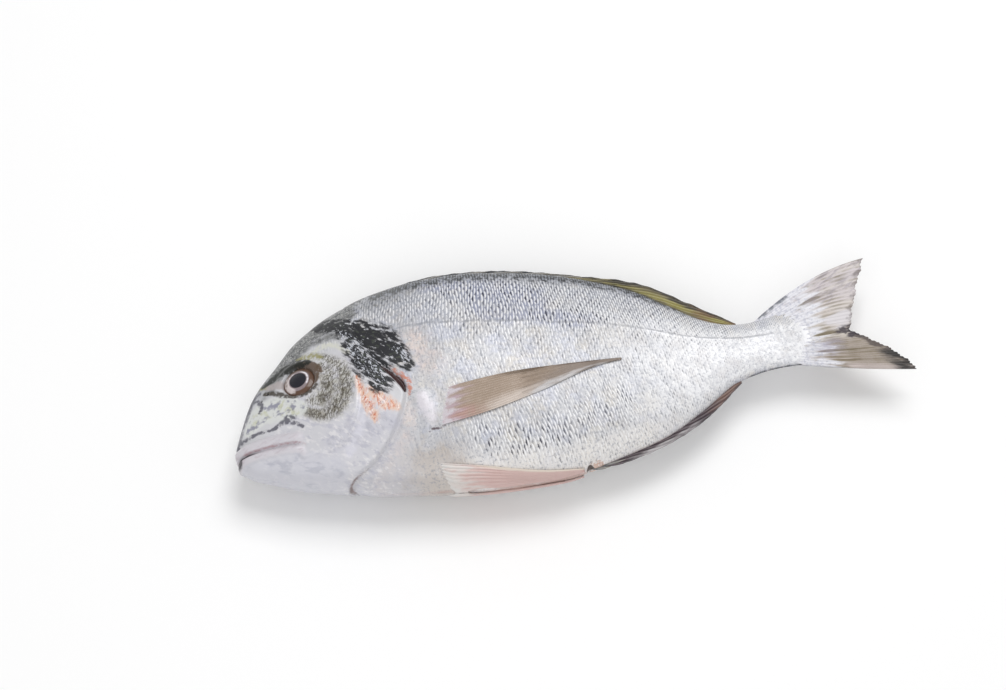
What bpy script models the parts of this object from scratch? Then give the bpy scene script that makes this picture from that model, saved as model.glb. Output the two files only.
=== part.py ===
"""A whole fresh sea bream, lying on its right side with its fins folded.

The fish is worked out in its own frame, in millimetres: s runs from the snout to the tail, h from
the belly to the back, and z from the right flank to the left one. The finished solid is in metres,
+Z up, with the snout towards -X and the back towards +Y, and rests on the flat of its right flank.
"""

import math

import bmesh
import bpy
import numpy as np
from mathutils import Matrix, Vector

MM = 0.001

# Driving sizes of the fish, in millimetres.
BODY_LENGTH = 268.0
HALF_WIDTH = 23.3
MIDLINE_HEIGHT = 20.0

# Outlines of the body without its fins, as (s, h), and half of its width as (s, share).
BACK_LINE = (
    (0.0, 0.0), (2.9, 8.4), (7.1, 17.4), (11.3, 25.2), (17.2, 32.6), (23.9, 39.0), (34.0, 48.8),
    (44.8, 56.2), (60.3, 63.2), (80.2, 67.9), (99.4, 69.2), (127.0, 66.6), (154.6, 59.4),
    (180.9, 48.8), (197.5, 38.6), (212.7, 26.0), (222.0, 19.0), (233.0, 14.0), (245.0, 13.4),
    (258.0, 15.0), (268.0, 15.6),
)
BELLY_LINE = (
    (0.0, 0.0), (1.2, -5.4), (4.9, -10.4), (13.0, -14.8), (25.3, -20.4), (44.4, -25.8),
    (59.0, -31.0), (84.9, -36.6), (111.0, -40.8), (128.7, -42.4), (147.7, -42.6), (165.6, -39.4),
    (184.8, -35.6), (200.5, -29.8), (214.2, -22.6), (225.8, -16.3), (236.6, -13.2),
    (248.8, -12.4), (258.0, -12.8), (268.0, -13.6),
)
WIDTH_LINE = (
    (0.0, 0.0), (1.2, 0.15), (4.0, 0.27), (9.0, 0.38), (18.0, 0.51), (34.0, 0.68), (52.0, 0.83),
    (72.0, 0.94), (95.0, 1.0), (120.0, 0.98), (150.0, 0.84), (180.0, 0.62), (210.0, 0.38),
    (235.0, 0.23), (255.0, 0.13), (268.0, 0.03),
)

# How a section departs from an ellipse: flatter flanks, and a head that narrows to its top.
FLANK_POWER = 0.92
EDGE_POWER = 1.06
HEAD_TAPER = 0.26
TRUNK_TAPER = 0.06
TAPER_FADE = (40.0, 95.0)

# The rings of the body crowd towards the head.
BODY_RINGS = 60
RING_POINTS = 40
RING_CROWDING = 1.25

# Gill cover: a plate that stands proud of the body along the gill edge, given as (s, h). It rises
# out of the body along the cheek, and between these two angles down from the back.
GILL_LIFT = 1.3
GILL_SINK = -0.8
GILL_RISE = (16.0, 52.0)
GILL_RISE_ANGLES = (math.radians(32), math.radians(62))
GILL_FLOOR = 0.3
GILL_EDGE = (
    (38.0, -40.0), (44.0, -29.0), (55.0, -24.5), (65.5, -17.4), (73.5, -7.2), (78.5, 4.6),
    (78.5, 14.0), (73.5, 22.5), (66.0, 32.0), (62.0, 44.0), (60.0, 80.0),
)
GILL_FRONT = ((-10.0, 80.0), (-10.0, -50.0), (30.0, -50.0))
GILL_EDGE_STEPS = 4

# Mouth: two lips that run from corner to corner round the snout, and part close to the corner.
MOUTH_CORNER = (31.0, -5.0)
MOUTH_FRONT = (1.2, -2.6)
LIP_OFFSET = 2.3
LIP_SINK = 0.9
LIP_THINNING = 0.55
LIP_STEPS = 8
LIP_CROWDING = 1.5
LIP_PARTING = 0.25
UPPER_LIP_RADIUS = 2.5
LOWER_LIP_RADIUS = 2.1

# Eye: a lens-shaped ball in a ring groove.
EYE_PLACE = (34.4, 24.8)
EYE_RADIUS = 7.4
EYE_HALF_THICKNESS = 3.6
EYE_SINK = 1.9
EYE_GROOVE_RADIUS = 8.2
EYE_GROOVE_DEPTH = 0.8
EYE_SEGMENTS = 18

# Caudal fin, as (s, h): the roots, bows and tips of its top, middle and bottom rays.
CAUDAL_ROOTS = ((244.0, 12.6), (250.0, 0.0), (256.0, -11.8))
CAUDAL_BOWS = ((276.0, 33.0), (270.0, 0.4), (285.2, -21.9))
UPPER_TRAIL = ((303.0, 32.8), (291.8, 13.2), (286.5, -0.6))
LOWER_TRAIL = ((286.5, -0.6), (302.5, -14.4), (310.0, -27.6))
CAUDAL_RAYS = 22
CAUDAL_STEPS = 9
CAUDAL_THICKNESS = (3.2, 1.0)
CAUDAL_WAVE = 1.1

# Folded dorsal and anal fins: height over the body's edge, as (s, height).
DORSAL_HEIGHTS = (
    (84.0, 0.3), (92.0, 1.6), (110.0, 2.4), (150.0, 2.6), (180.0, 3.6), (200.0, 7.4),
    (214.0, 8.2), (226.0, 6.2), (236.0, 1.2),
)
ANAL_HEIGHTS = (
    (153.0, 0.3), (158.0, 2.0), (172.0, 2.8), (192.0, 3.4), (210.0, 4.0), (222.0, 3.2),
    (230.0, 1.0),
)
DORSAL_STEPS = 46
ANAL_STEPS = 22
FOLD_ROWS = 3
FOLD_SINK = 2.6
FOLD_THICKNESS = (2.4, 1.1)

# Paired fins lie back along the flank: (s, h) of base and tip, and width shares from base to tip.
PECTORAL_BASE = (88.0, -6.7)
PECTORAL_TIP = (177.0, 1.8)
PECTORAL_WIDTH = 18.5
PECTORAL_BOW = 0.8
PELVIC_BASE = (84.0, -30.4)
PELVIC_TIP = (148.0, -40.4)
PELVIC_WIDTH = 9.0
PELVIC_BOW = -1.0
PAIRED_SHARES = ((0.0, 0.86), (0.18, 1.0), (0.36, 0.94), (0.58, 0.58), (0.8, 0.24), (1.0, 0.04))
PAIRED_ROWS = 6
PAIRED_STEPS = 14
PAIRED_THICKNESS = (2.4, 1.8)
PAIRED_ROOT_LIFT = -1.0
PAIRED_LIFT = 0.2
PAIRED_RISE = 0.16
PRESSED_FIN_HEIGHT = 1.6

# Vent, in front of the anal fin.
VENT_PLACE = (150.5, -43.4)
VENT_RADIUS = 2.0

# Wet silver skin, and the angle from which an edge is drawn sharp.
SKIN_COLOUR = (0.60, 0.61, 0.62, 1.0)
SKIN_ROUGHNESS = 0.35
SHARP_ANGLE = math.radians(40)
WELD = 0.01


def natural_spline(knots, warp=1.0):
    """A smooth function through the knots, solved in s ** warp so that a blunt end stays round."""
    at = np.array([s for s, _ in knots]) ** warp
    value = np.array([v for _, v in knots])
    step = np.diff(at)
    slope = np.diff(value) / step
    matrix = np.eye(len(at))
    right = np.zeros(len(at))
    for i in range(1, len(at) - 1):
        matrix[i, i - 1:i + 2] = (step[i - 1], 2 * (step[i - 1] + step[i]), step[i])
        right[i] = 6 * (slope[i] - slope[i - 1])
    bend = np.linalg.solve(matrix, right)

    def evaluate(s):
        x = min(max(s, knots[0][0]), knots[-1][0]) ** warp
        i = min(max(int(np.searchsorted(at, x)) - 1, 0), len(step) - 1)
        a, b = (at[i + 1] - x) / step[i], (x - at[i]) / step[i]
        curve = ((a ** 3 - a) * bend[i] + (b ** 3 - b) * bend[i + 1]) * step[i] ** 2 / 6
        return float(a * value[i] + b * value[i + 1] + curve)

    return evaluate


back_at = natural_spline(BACK_LINE, warp=0.5)
belly_at = natural_spline(BELLY_LINE, warp=0.5)
width_at = natural_spline(WIDTH_LINE, warp=0.5)
dorsal_height_at = natural_spline(DORSAL_HEIGHTS)
anal_height_at = natural_spline(ANAL_HEIGHTS)
paired_share_at = natural_spline(PAIRED_SHARES)


def smooth_step(x, start, end):
    """0 before start, 1 after end, and an even rise between them."""
    t = min(max((x - start) / (end - start), 0.0), 1.0)
    return t * t * (3 - 2 * t)


def mix(a, b, share):
    return tuple(p + (q - p) * share for p, q in zip(a, b))


def arc_point(first, bow, last, share):
    """A point on the bent line from first to last that leans towards bow."""
    return mix(mix(first, bow, share), mix(bow, last, share), share)


def section_point(s, angle, lift=0.0):
    """(h, z) on the body at this station: angle 0 is the back, 90 degrees the left flank."""
    middle = (back_at(s) + belly_at(s)) / 2
    half_depth = (back_at(s) - belly_at(s)) / 2 + lift
    half_width = HALF_WIDTH * width_at(s) + lift
    taper = HEAD_TAPER + (TRUNK_TAPER - HEAD_TAPER) * smooth_step(s, *TAPER_FADE)
    up = math.copysign(abs(math.cos(angle)) ** EDGE_POWER, math.cos(angle))
    side = math.copysign(abs(math.sin(angle)) ** FLANK_POWER, math.sin(angle))
    return middle + half_depth * up, half_width * side * (1 - taper * up)


def flank_z(s, h):
    """Distance from the median plane to the flank at (s, h), found by halving the angle."""
    low, high = 0.0, math.pi
    for _ in range(40):
        angle = (low + high) / 2
        if section_point(s, angle)[0] > h:
            low = angle
        else:
            high = angle
    return section_point(s, angle)[1]


def placed(s, h, z, floor=0.0):
    """A point of the fish, in metres, pressed flat where it would reach below the floor."""
    return Vector((s, h, max(MIDLINE_HEIGHT + z, floor))) * MM


def outward_at(s, h, side):
    """The direction that the left (side 1) or right (side -1) flank faces at (s, h)."""
    reach = 2.0
    here = Vector((s, h, flank_z(s, h)))
    along = Vector((s + reach, h, flank_z(s + reach, h))) - here
    upward = Vector((s, h + reach, flank_z(s, h + reach))) - here
    normal = along.cross(upward).normalized()
    return Vector((normal.x, normal.y, side * normal.z))


def new_collection(name):
    collection = bpy.data.collections.new(name)
    bpy.context.scene.collection.children.link(collection)
    return collection


def new_object(name, data, collection):
    item = bpy.data.objects.new(name, data)
    collection.objects.link(item)
    return item


def object_from(bm, name, collection):
    """An object that holds this bmesh."""
    mesh = bpy.data.meshes.new(name)
    bm.to_mesh(mesh)
    bm.free()
    return new_object(name, mesh, collection)


def evaluated_mesh(item):
    """The object's mesh with its modifiers or its curve's bevel applied."""
    bpy.context.view_layer.update()
    graph = bpy.context.evaluated_depsgraph_get()
    return bpy.data.meshes.new_from_object(item.evaluated_get(graph))


def mesh_of_curve(curve_item, collection):
    """The curve as a mesh object with its caps welded on, in place of the curve."""
    bm = bmesh.new()
    bm.from_mesh(evaluated_mesh(curve_item))
    bmesh.ops.remove_doubles(bm, verts=bm.verts, dist=WELD * MM)
    bmesh.ops.recalc_face_normals(bm, faces=bm.faces)
    name, matrix = curve_item.name, curve_item.matrix_world.copy()
    bpy.data.objects.remove(curve_item)
    solid = object_from(bm, name, collection)
    solid.matrix_world = matrix
    return solid


def make_body(name, collection, lift_at=None, floor=0.0):
    """A sphere whose poles are the snout and the tail, with each ring drawn out to a section."""
    bm = bmesh.new()
    bmesh.ops.create_uvsphere(bm, u_segments=RING_POINTS, v_segments=BODY_RINGS, radius=1.0)
    for vert in bm.verts:
        share = (1 - min(max(vert.co.z, -1.0), 1.0)) / 2
        s = BODY_LENGTH * share ** RING_CROWDING
        angle = math.atan2(vert.co.y, vert.co.x)
        h, z = section_point(s, angle, lift_at(s, angle) if lift_at else 0.0)
        vert.co = placed(s, h, z, floor)
    bmesh.ops.recalc_face_normals(bm, faces=bm.faces)
    return object_from(bm, name, collection)


def gill_lift_at(s, angle):
    """The plate is inside the body at the snout and the nape, and stands out of it at the cheek."""
    share = smooth_step(s, *GILL_RISE) * smooth_step(abs(angle), *GILL_RISE_ANGLES)
    return GILL_SINK + (GILL_LIFT - GILL_SINK) * share


def make_gill_covers(pieces, cutters):
    """Both gill covers: a fatter body, kept only in front of the gill edge."""
    curve = bpy.data.curves.new("head_block", "CURVE")
    curve.dimensions = "2D"
    curve.fill_mode = "BOTH"
    curve.extrude = 3 * HALF_WIDTH * MM
    outline = GILL_EDGE + GILL_FRONT
    curve.resolution_u = GILL_EDGE_STEPS
    spline = curve.splines.new("BEZIER")
    spline.bezier_points.add(len(outline) - 1)
    for point, (s, h) in zip(spline.bezier_points, outline):
        point.co = (s * MM, h * MM, 0.0)
        point.handle_left_type = "AUTO"
        point.handle_right_type = "AUTO"
    spline.use_cyclic_u = True
    block = mesh_of_curve(new_object("head_block", curve, cutters), cutters)

    plates = make_body("gill_covers", pieces, gill_lift_at, GILL_FLOOR)
    cut = plates.modifiers.new("gill_edge", "BOOLEAN")
    cut.operation = "INTERSECT"
    cut.object = block
    plates.data = evaluated_mesh(plates)
    plates.modifiers.clear()
    bpy.data.objects.remove(block)


def make_lip(name, offset, radius, collection):
    """A tube from the left corner of the mouth round the snout to the right corner."""
    left = []
    for i in range(LIP_STEPS + 1):
        share = 1 - (1 - i / LIP_STEPS) ** LIP_CROWDING
        s, h = mix(MOUTH_CORNER, MOUTH_FRONT, share)
        h += offset * min(1.0, share / LIP_PARTING)
        left.append((s + LIP_SINK * share, h, flank_z(s, h) - LIP_SINK * (1 - share)))
    route = left + [(s, h, -z) for s, h, z in reversed(left)]

    curve = bpy.data.curves.new(name, "CURVE")
    curve.dimensions = "3D"
    curve.bevel_depth = radius * MM
    curve.bevel_resolution = 1
    curve.use_fill_caps = True
    spline = curve.splines.new("POLY")
    spline.points.add(len(route) - 1)
    middle = (len(route) - 1) / 2
    for i, (s, h, z) in enumerate(route):
        spline.points[i].co = (*placed(s, h, z), 1.0)
        spline.points[i].radius = 1 - LIP_THINNING * (abs(i - middle) / middle) ** 3
    mesh_of_curve(new_object(name, curve, collection), collection)


def make_eye(side, pieces, cutters):
    """A bulging eye on one side of the head, and the groove round it."""
    word = "left" if side > 0 else "right"
    s, h = EYE_PLACE
    outward = outward_at(s, h, side)
    surface = placed(s, h, side * flank_z(s, h))
    turn = outward.to_track_quat("Z", "Y").to_matrix().to_4x4()

    bm = bmesh.new()
    rows = EYE_SEGMENTS // 2
    bmesh.ops.create_uvsphere(bm, u_segments=EYE_SEGMENTS, v_segments=rows, radius=EYE_RADIUS * MM)
    flatten = Matrix.Scale(EYE_HALF_THICKNESS / EYE_RADIUS, 4, (0, 0, 1))
    centre = Matrix.Translation(surface - outward * EYE_SINK * MM)
    bmesh.ops.transform(bm, matrix=centre @ turn @ flatten, verts=bm.verts)
    object_from(bm, "eye_" + word, pieces)

    bpy.ops.mesh.primitive_torus_add(
        major_radius=EYE_GROOVE_RADIUS * MM, minor_radius=EYE_GROOVE_DEPTH * MM,
        major_segments=EYE_SEGMENTS, minor_segments=6,
    )
    ring = bpy.context.object
    ring.name = "eye_groove_" + word
    ring.data.transform(Matrix.Translation(surface) @ turn)
    for holder in list(ring.users_collection):
        holder.objects.unlink(ring)
    cutters.objects.link(ring)


def make_sheet(name, rows, steps, place, thickness, collection):
    """A fin: a grid of (across, along) shares laid out by place, thickened root to edge."""
    bm = bmesh.new()
    bmesh.ops.create_grid(bm, x_segments=rows, y_segments=steps, size=0.5)
    shares = [(vert.co.x + 0.5, vert.co.y + 0.5) for vert in bm.verts]
    for vert, (across, along) in zip(bm.verts, shares):
        vert.co = place(across, along)
    sheet = object_from(bm, name, collection)
    group = sheet.vertex_groups.new(name="thickness")
    for i, (_, along) in enumerate(shares):
        root, edge = thickness
        group.add([i], (root + (edge - root) * along) / root, "REPLACE")
    solid = sheet.modifiers.new("fin", "SOLIDIFY")
    solid.thickness = thickness[0] * MM
    solid.offset = 0.0
    solid.vertex_group = "thickness"
    solid.use_even_offset = False
    return sheet


def caudal_place(across, along):
    """The tail fin fans out from the tail base, with a fork between its two lobes."""
    if across < 0.5:
        share = across * 2
        root = mix(CAUDAL_ROOTS[0], CAUDAL_ROOTS[1], share)
        bow = mix(CAUDAL_BOWS[0], CAUDAL_BOWS[1], share)
        tip = arc_point(*UPPER_TRAIL, share)
    else:
        share = across * 2 - 1
        root = mix(CAUDAL_ROOTS[1], CAUDAL_ROOTS[2], share)
        bow = mix(CAUDAL_BOWS[1], CAUDAL_BOWS[2], share)
        tip = arc_point(*LOWER_TRAIL, share)
    s, h = arc_point(root, bow, tip, along)
    return placed(s, h, CAUDAL_WAVE * along * math.sin(3 * math.pi * across))


def folded_fin_place(edge_at, height_at, span, up):
    """A low strip along the back (up 1) or the belly (up -1), from just inside the body out."""
    def place(across, along):
        s = span[0] + (span[1] - span[0]) * across
        height = -FOLD_SINK + (height_at(s) + FOLD_SINK) * along
        return placed(s, edge_at(s) + up * height, 0.0)
    return place


def paired_place(base, tip, width, bow, side):
    """A fin folded back against the flank from its base to its pointed tip."""
    middle = mix(base, tip, 0.5)
    bend = (middle[0], middle[1] + 2 * bow)

    def place(across, along):
        s, h = arc_point(base, bend, tip, along)
        h += width * paired_share_at(along) * (across - 0.5)
        rise = smooth_step(along, 0.0, PAIRED_RISE)
        lift = PAIRED_ROOT_LIFT + (PAIRED_LIFT - PAIRED_ROOT_LIFT) * rise
        return placed(s, h, side * (flank_z(s, h) + lift), PRESSED_FIN_HEIGHT)
    return place


def make_fins(pieces):
    """All eight fins, each reaching into the body where it grows from it."""
    make_sheet("caudal_fin", CAUDAL_RAYS, CAUDAL_STEPS, caudal_place, CAUDAL_THICKNESS, pieces)
    folded = (
        ("dorsal_fin", back_at, dorsal_height_at, DORSAL_HEIGHTS, DORSAL_STEPS, 1),
        ("anal_fin", belly_at, anal_height_at, ANAL_HEIGHTS, ANAL_STEPS, -1),
    )
    for name, edge_at, height_at, heights, steps, up in folded:
        place = folded_fin_place(edge_at, height_at, (heights[0][0], heights[-1][0]), up)
        make_sheet(name, steps, FOLD_ROWS, place, FOLD_THICKNESS, pieces)
    paired = (
        ("pectoral_fin", PECTORAL_BASE, PECTORAL_TIP, PECTORAL_WIDTH, PECTORAL_BOW),
        ("pelvic_fin", PELVIC_BASE, PELVIC_TIP, PELVIC_WIDTH, PELVIC_BOW),
    )
    for name, base, tip, width, bow in paired:
        for word, side in (("left", 1), ("right", -1)):
            place = paired_place(base, tip, width, bow, side)
            make_sheet(f"{name}_{word}", PAIRED_ROWS, PAIRED_STEPS, place, PAIRED_THICKNESS, pieces)


def make_vent(cutters):
    """The notch of the vent in the belly's edge."""
    bm = bmesh.new()
    bmesh.ops.create_icosphere(bm, subdivisions=2, radius=VENT_RADIUS * MM)
    bmesh.ops.translate(bm, verts=bm.verts, vec=placed(*VENT_PLACE, 0.0))
    object_from(bm, "vent", cutters)


def add_boolean(body, operation, collection):
    joint = body.modifiers.new(operation.lower(), "BOOLEAN")
    joint.operation = operation
    joint.operand_type = "COLLECTION"
    joint.collection = collection


def fish_material():
    material = bpy.data.materials.new("fish_skin")
    material.use_nodes = True
    shader = material.node_tree.nodes["Principled BSDF"]
    shader.inputs["Base Color"].default_value = SKIN_COLOUR
    shader.inputs["Roughness"].default_value = SKIN_ROUGHNESS
    return material


def centre_on_floor(item):
    """Moves the fish so that the middle of its box, seen from above, is at the origin."""
    corners = np.array([vert.co for vert in item.data.vertices])
    middle = (corners.min(axis=0) + corners.max(axis=0)) / 2
    item.data.transform(Matrix.Translation((-middle[0], -middle[1], 0.0)))


def main():
    for item in list(bpy.data.objects):
        bpy.data.objects.remove(item)
    fish = new_collection("sea_bream")
    pieces = new_collection("pieces")
    cutters = new_collection("cutters")

    body = make_body("sea_bream", fish)
    make_gill_covers(pieces, cutters)
    make_lip("upper_lip", LIP_OFFSET, UPPER_LIP_RADIUS, pieces)
    make_lip("lower_lip", -LIP_OFFSET, LOWER_LIP_RADIUS, pieces)
    for side in (1, -1):
        make_eye(side, pieces, cutters)
    make_fins(pieces)
    make_vent(cutters)

    add_boolean(body, "DIFFERENCE", cutters)
    add_boolean(body, "UNION", pieces)
    body.data = evaluated_mesh(body)
    body.modifiers.clear()
    for collection in (pieces, cutters):
        for item in list(collection.objects):
            bpy.data.objects.remove(item)
        bpy.data.collections.remove(collection)
    centre_on_floor(body)
    body.data.materials.clear()
    body.data.materials.append(fish_material())
    body.data.shade_smooth()
    body.data.set_sharp_from_angle(angle=SHARP_ANGLE)


main()
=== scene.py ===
"""The look of a whole fresh sea bream, lying on its right side.

The fish is worked out in its own frame, in millimetres: s runs from the snout to the tail, h from
the belly to the back, and z from the right flank to the left one. Shapes are laid out there and
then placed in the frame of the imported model, in metres.
"""

from __future__ import annotations

import logging
import math
from dataclasses import dataclass, field
from enum import Enum
from typing import Any, Callable, Sequence

import bpy
import numpy as np
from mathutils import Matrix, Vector

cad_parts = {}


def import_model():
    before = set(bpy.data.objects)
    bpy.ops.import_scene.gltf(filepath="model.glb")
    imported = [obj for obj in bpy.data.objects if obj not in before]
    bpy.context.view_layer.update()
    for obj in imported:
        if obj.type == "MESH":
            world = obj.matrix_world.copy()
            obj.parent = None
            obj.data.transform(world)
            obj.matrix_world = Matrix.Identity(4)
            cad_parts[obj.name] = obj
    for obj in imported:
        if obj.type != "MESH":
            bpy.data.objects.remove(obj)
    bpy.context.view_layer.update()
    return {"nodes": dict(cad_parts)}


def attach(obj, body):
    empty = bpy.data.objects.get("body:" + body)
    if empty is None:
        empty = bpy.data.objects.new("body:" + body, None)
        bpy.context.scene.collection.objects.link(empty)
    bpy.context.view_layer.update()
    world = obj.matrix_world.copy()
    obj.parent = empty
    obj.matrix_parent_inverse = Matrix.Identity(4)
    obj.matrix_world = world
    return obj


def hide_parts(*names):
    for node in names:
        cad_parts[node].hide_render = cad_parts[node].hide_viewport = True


LOG = logging.getLogger("sea_bream")
MM = 0.001
# How often the angle is halved to find the flank at a height: to a millionth of a degree.
HALVINGS = 30
# Points round half of the girth, to even out the rows of the skin.
GIRTH_STEPS = 2000
# The way from the back's ridge to the keel round the deepest part, in millimetres.
HALF_GIRTH = 130
NODE = "sea_bream"
Knots = Sequence[tuple[float, ...]]


def linear(hex_colour: str) -> tuple[float, float, float, float]:
    """Turns an sRGB hex colour into linear RGBA.

    Args:
        hex_colour: a colour such as "#c8cacf".

    Returns:
        The linear red, green and blue, and an alpha of 1.
    """
    channels = []
    for start in (1, 3, 5):
        value = int(hex_colour[start:start + 2], 16) / 255
        channels.append(value / 12.92 if value <= 0.04045 else ((value + 0.055) / 1.055) ** 2.4)
    return (*channels, 1)


def smooth(x: np.ndarray, start: float, end: float) -> np.ndarray:
    """An even rise from 0 at start to 1 at end, which may run backwards.

    Args:
        x: the values to weigh.
        start: where the result is 0.
        end: where the result is 1.

    Returns:
        The weights, from 0 to 1.
    """
    t = np.clip((np.asarray(x, float) - start) / (end - start), 0, 1)
    return t * t * (3 - 2 * t)


def bump(x: np.ndarray, centre: float, reach: float) -> np.ndarray:
    """A round bump of height 1 at centre that ends at reach from it.

    Args:
        x: the values to weigh.
        centre: where the bump is highest.
        reach: half of the bump's width.

    Returns:
        The bump's height at each value.
    """
    t = np.clip(1 - ((np.asarray(x, float) - centre) / reach) ** 2, 0, None)
    return t * t


class Spline:
    """A natural cubic spline through (s, value) knots, solved in s ** warp."""

    def __init__(self, knots: Knots, warp: float = 1) -> None:
        """Solves the spline's bends.

        Args:
            knots: the (s, value) pairs that it goes through.
            warp: a power of s, below 1 where the curve starts blunt.
        """
        self.low, self.high, self.warp = knots[0][0], knots[-1][0], warp
        self.at = np.array([knot[0] for knot in knots]) ** warp
        self.value = np.array([knot[1] for knot in knots])
        self.step = np.diff(self.at)
        slope = np.diff(self.value) / self.step
        matrix = np.eye(len(self.at))
        right = np.zeros(len(self.at))
        for i in range(1, len(self.at) - 1):
            before, after = self.step[i - 1], self.step[i]
            matrix[i, i - 1:i + 2] = (before, 2 * (before + after), after)
            right[i] = 6 * (slope[i] - slope[i - 1])
        self.bend = np.linalg.solve(matrix, right)

    def __call__(self, s: np.ndarray) -> np.ndarray:
        """The curve's value at each s, held beyond its ends.

        Args:
            s: where to read the curve.

        Returns:
            The values.
        """
        x = np.clip(np.asarray(s, float), self.low, self.high) ** self.warp
        i = np.clip(np.searchsorted(self.at, x) - 1, 0, len(self.step) - 1)
        a = (self.at[i + 1] - x) / self.step[i]
        b = (x - self.at[i]) / self.step[i]
        curve = (a ** 3 - a) * self.bend[i] + (b ** 3 - b) * self.bend[i + 1]
        return a * self.value[i] + b * self.value[i + 1] + curve * self.step[i] ** 2 / 6


class Stroke:
    """A soft brush stroke on the flank, along (s, h, radius) knots in millimetres."""

    def __init__(self, *knots: tuple[float, ...], steps: int = 6) -> None:
        """Refines the knots into a smooth route.

        Args:
            knots: the (s, h, radius) points that the stroke goes through.
            steps: pieces into which each stretch between knots is cut.
        """
        count = max(2, (len(knots) - 1) * steps + 1)
        share = np.linspace(0, len(knots) - 1, count)
        places = range(len(knots))
        columns = [Spline([(i, knots[i][k]) for i in places])(share) for k in range(3)]
        self.route = np.stack(columns, axis=1)

    def offset(self, s: np.ndarray, h: np.ndarray) -> tuple[np.ndarray, np.ndarray, np.ndarray]:
        """Distances from the stroke's middle line.

        Args:
            s: stations along the fish.
            h: heights on the flank.

        Returns:
            The distance, its sign (1 on the left of the way the stroke runs) and the radius there.
        """
        best = np.full(np.shape(s), 1e9)
        sign = np.ones(np.shape(s))
        radius = np.ones(np.shape(s))
        for (s0, h0, r0), (s1, h1, r1) in zip(self.route[:-1], self.route[1:]):
            ds, dh = s1 - s0, h1 - h0
            span = max(ds * ds + dh * dh, 1e-9)
            share = np.clip(((s - s0) * ds + (h - h0) * dh) / span, 0, 1)
            gap = np.hypot(s - s0 - share * ds, h - h0 - share * dh)
            near = gap < best
            best = np.where(near, gap, best)
            cross = ds * (h - h0) - dh * (s - s0)
            sign = np.where(near, np.where(cross >= 0, 1, -1), sign)
            radius = np.where(near, r0 + (r1 - r0) * share, radius)
        return best, sign, radius

    def mask(self, s: np.ndarray, h: np.ndarray, core: float = 0.35) -> np.ndarray:
        """1 in the core, that share of the radius, falling to 0 at the radius."""
        gap, _, radius = self.offset(s, h)
        return smooth(gap / np.maximum(radius, 1e-6), 1, core)


class Grain(Enum):
    """How a pigment breaks up: the noise's values where it is thinnest and where it is thickest.

    Clouds follow the noise itself, and winding lines its distance from the middle.
    """

    CLOUD = (0.3, 0.7)
    WORM = (0.11, 0)


class Side(Enum):
    """The fish's own sides. The left one is up."""

    LEFT = 1
    RIGHT = -1


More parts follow.
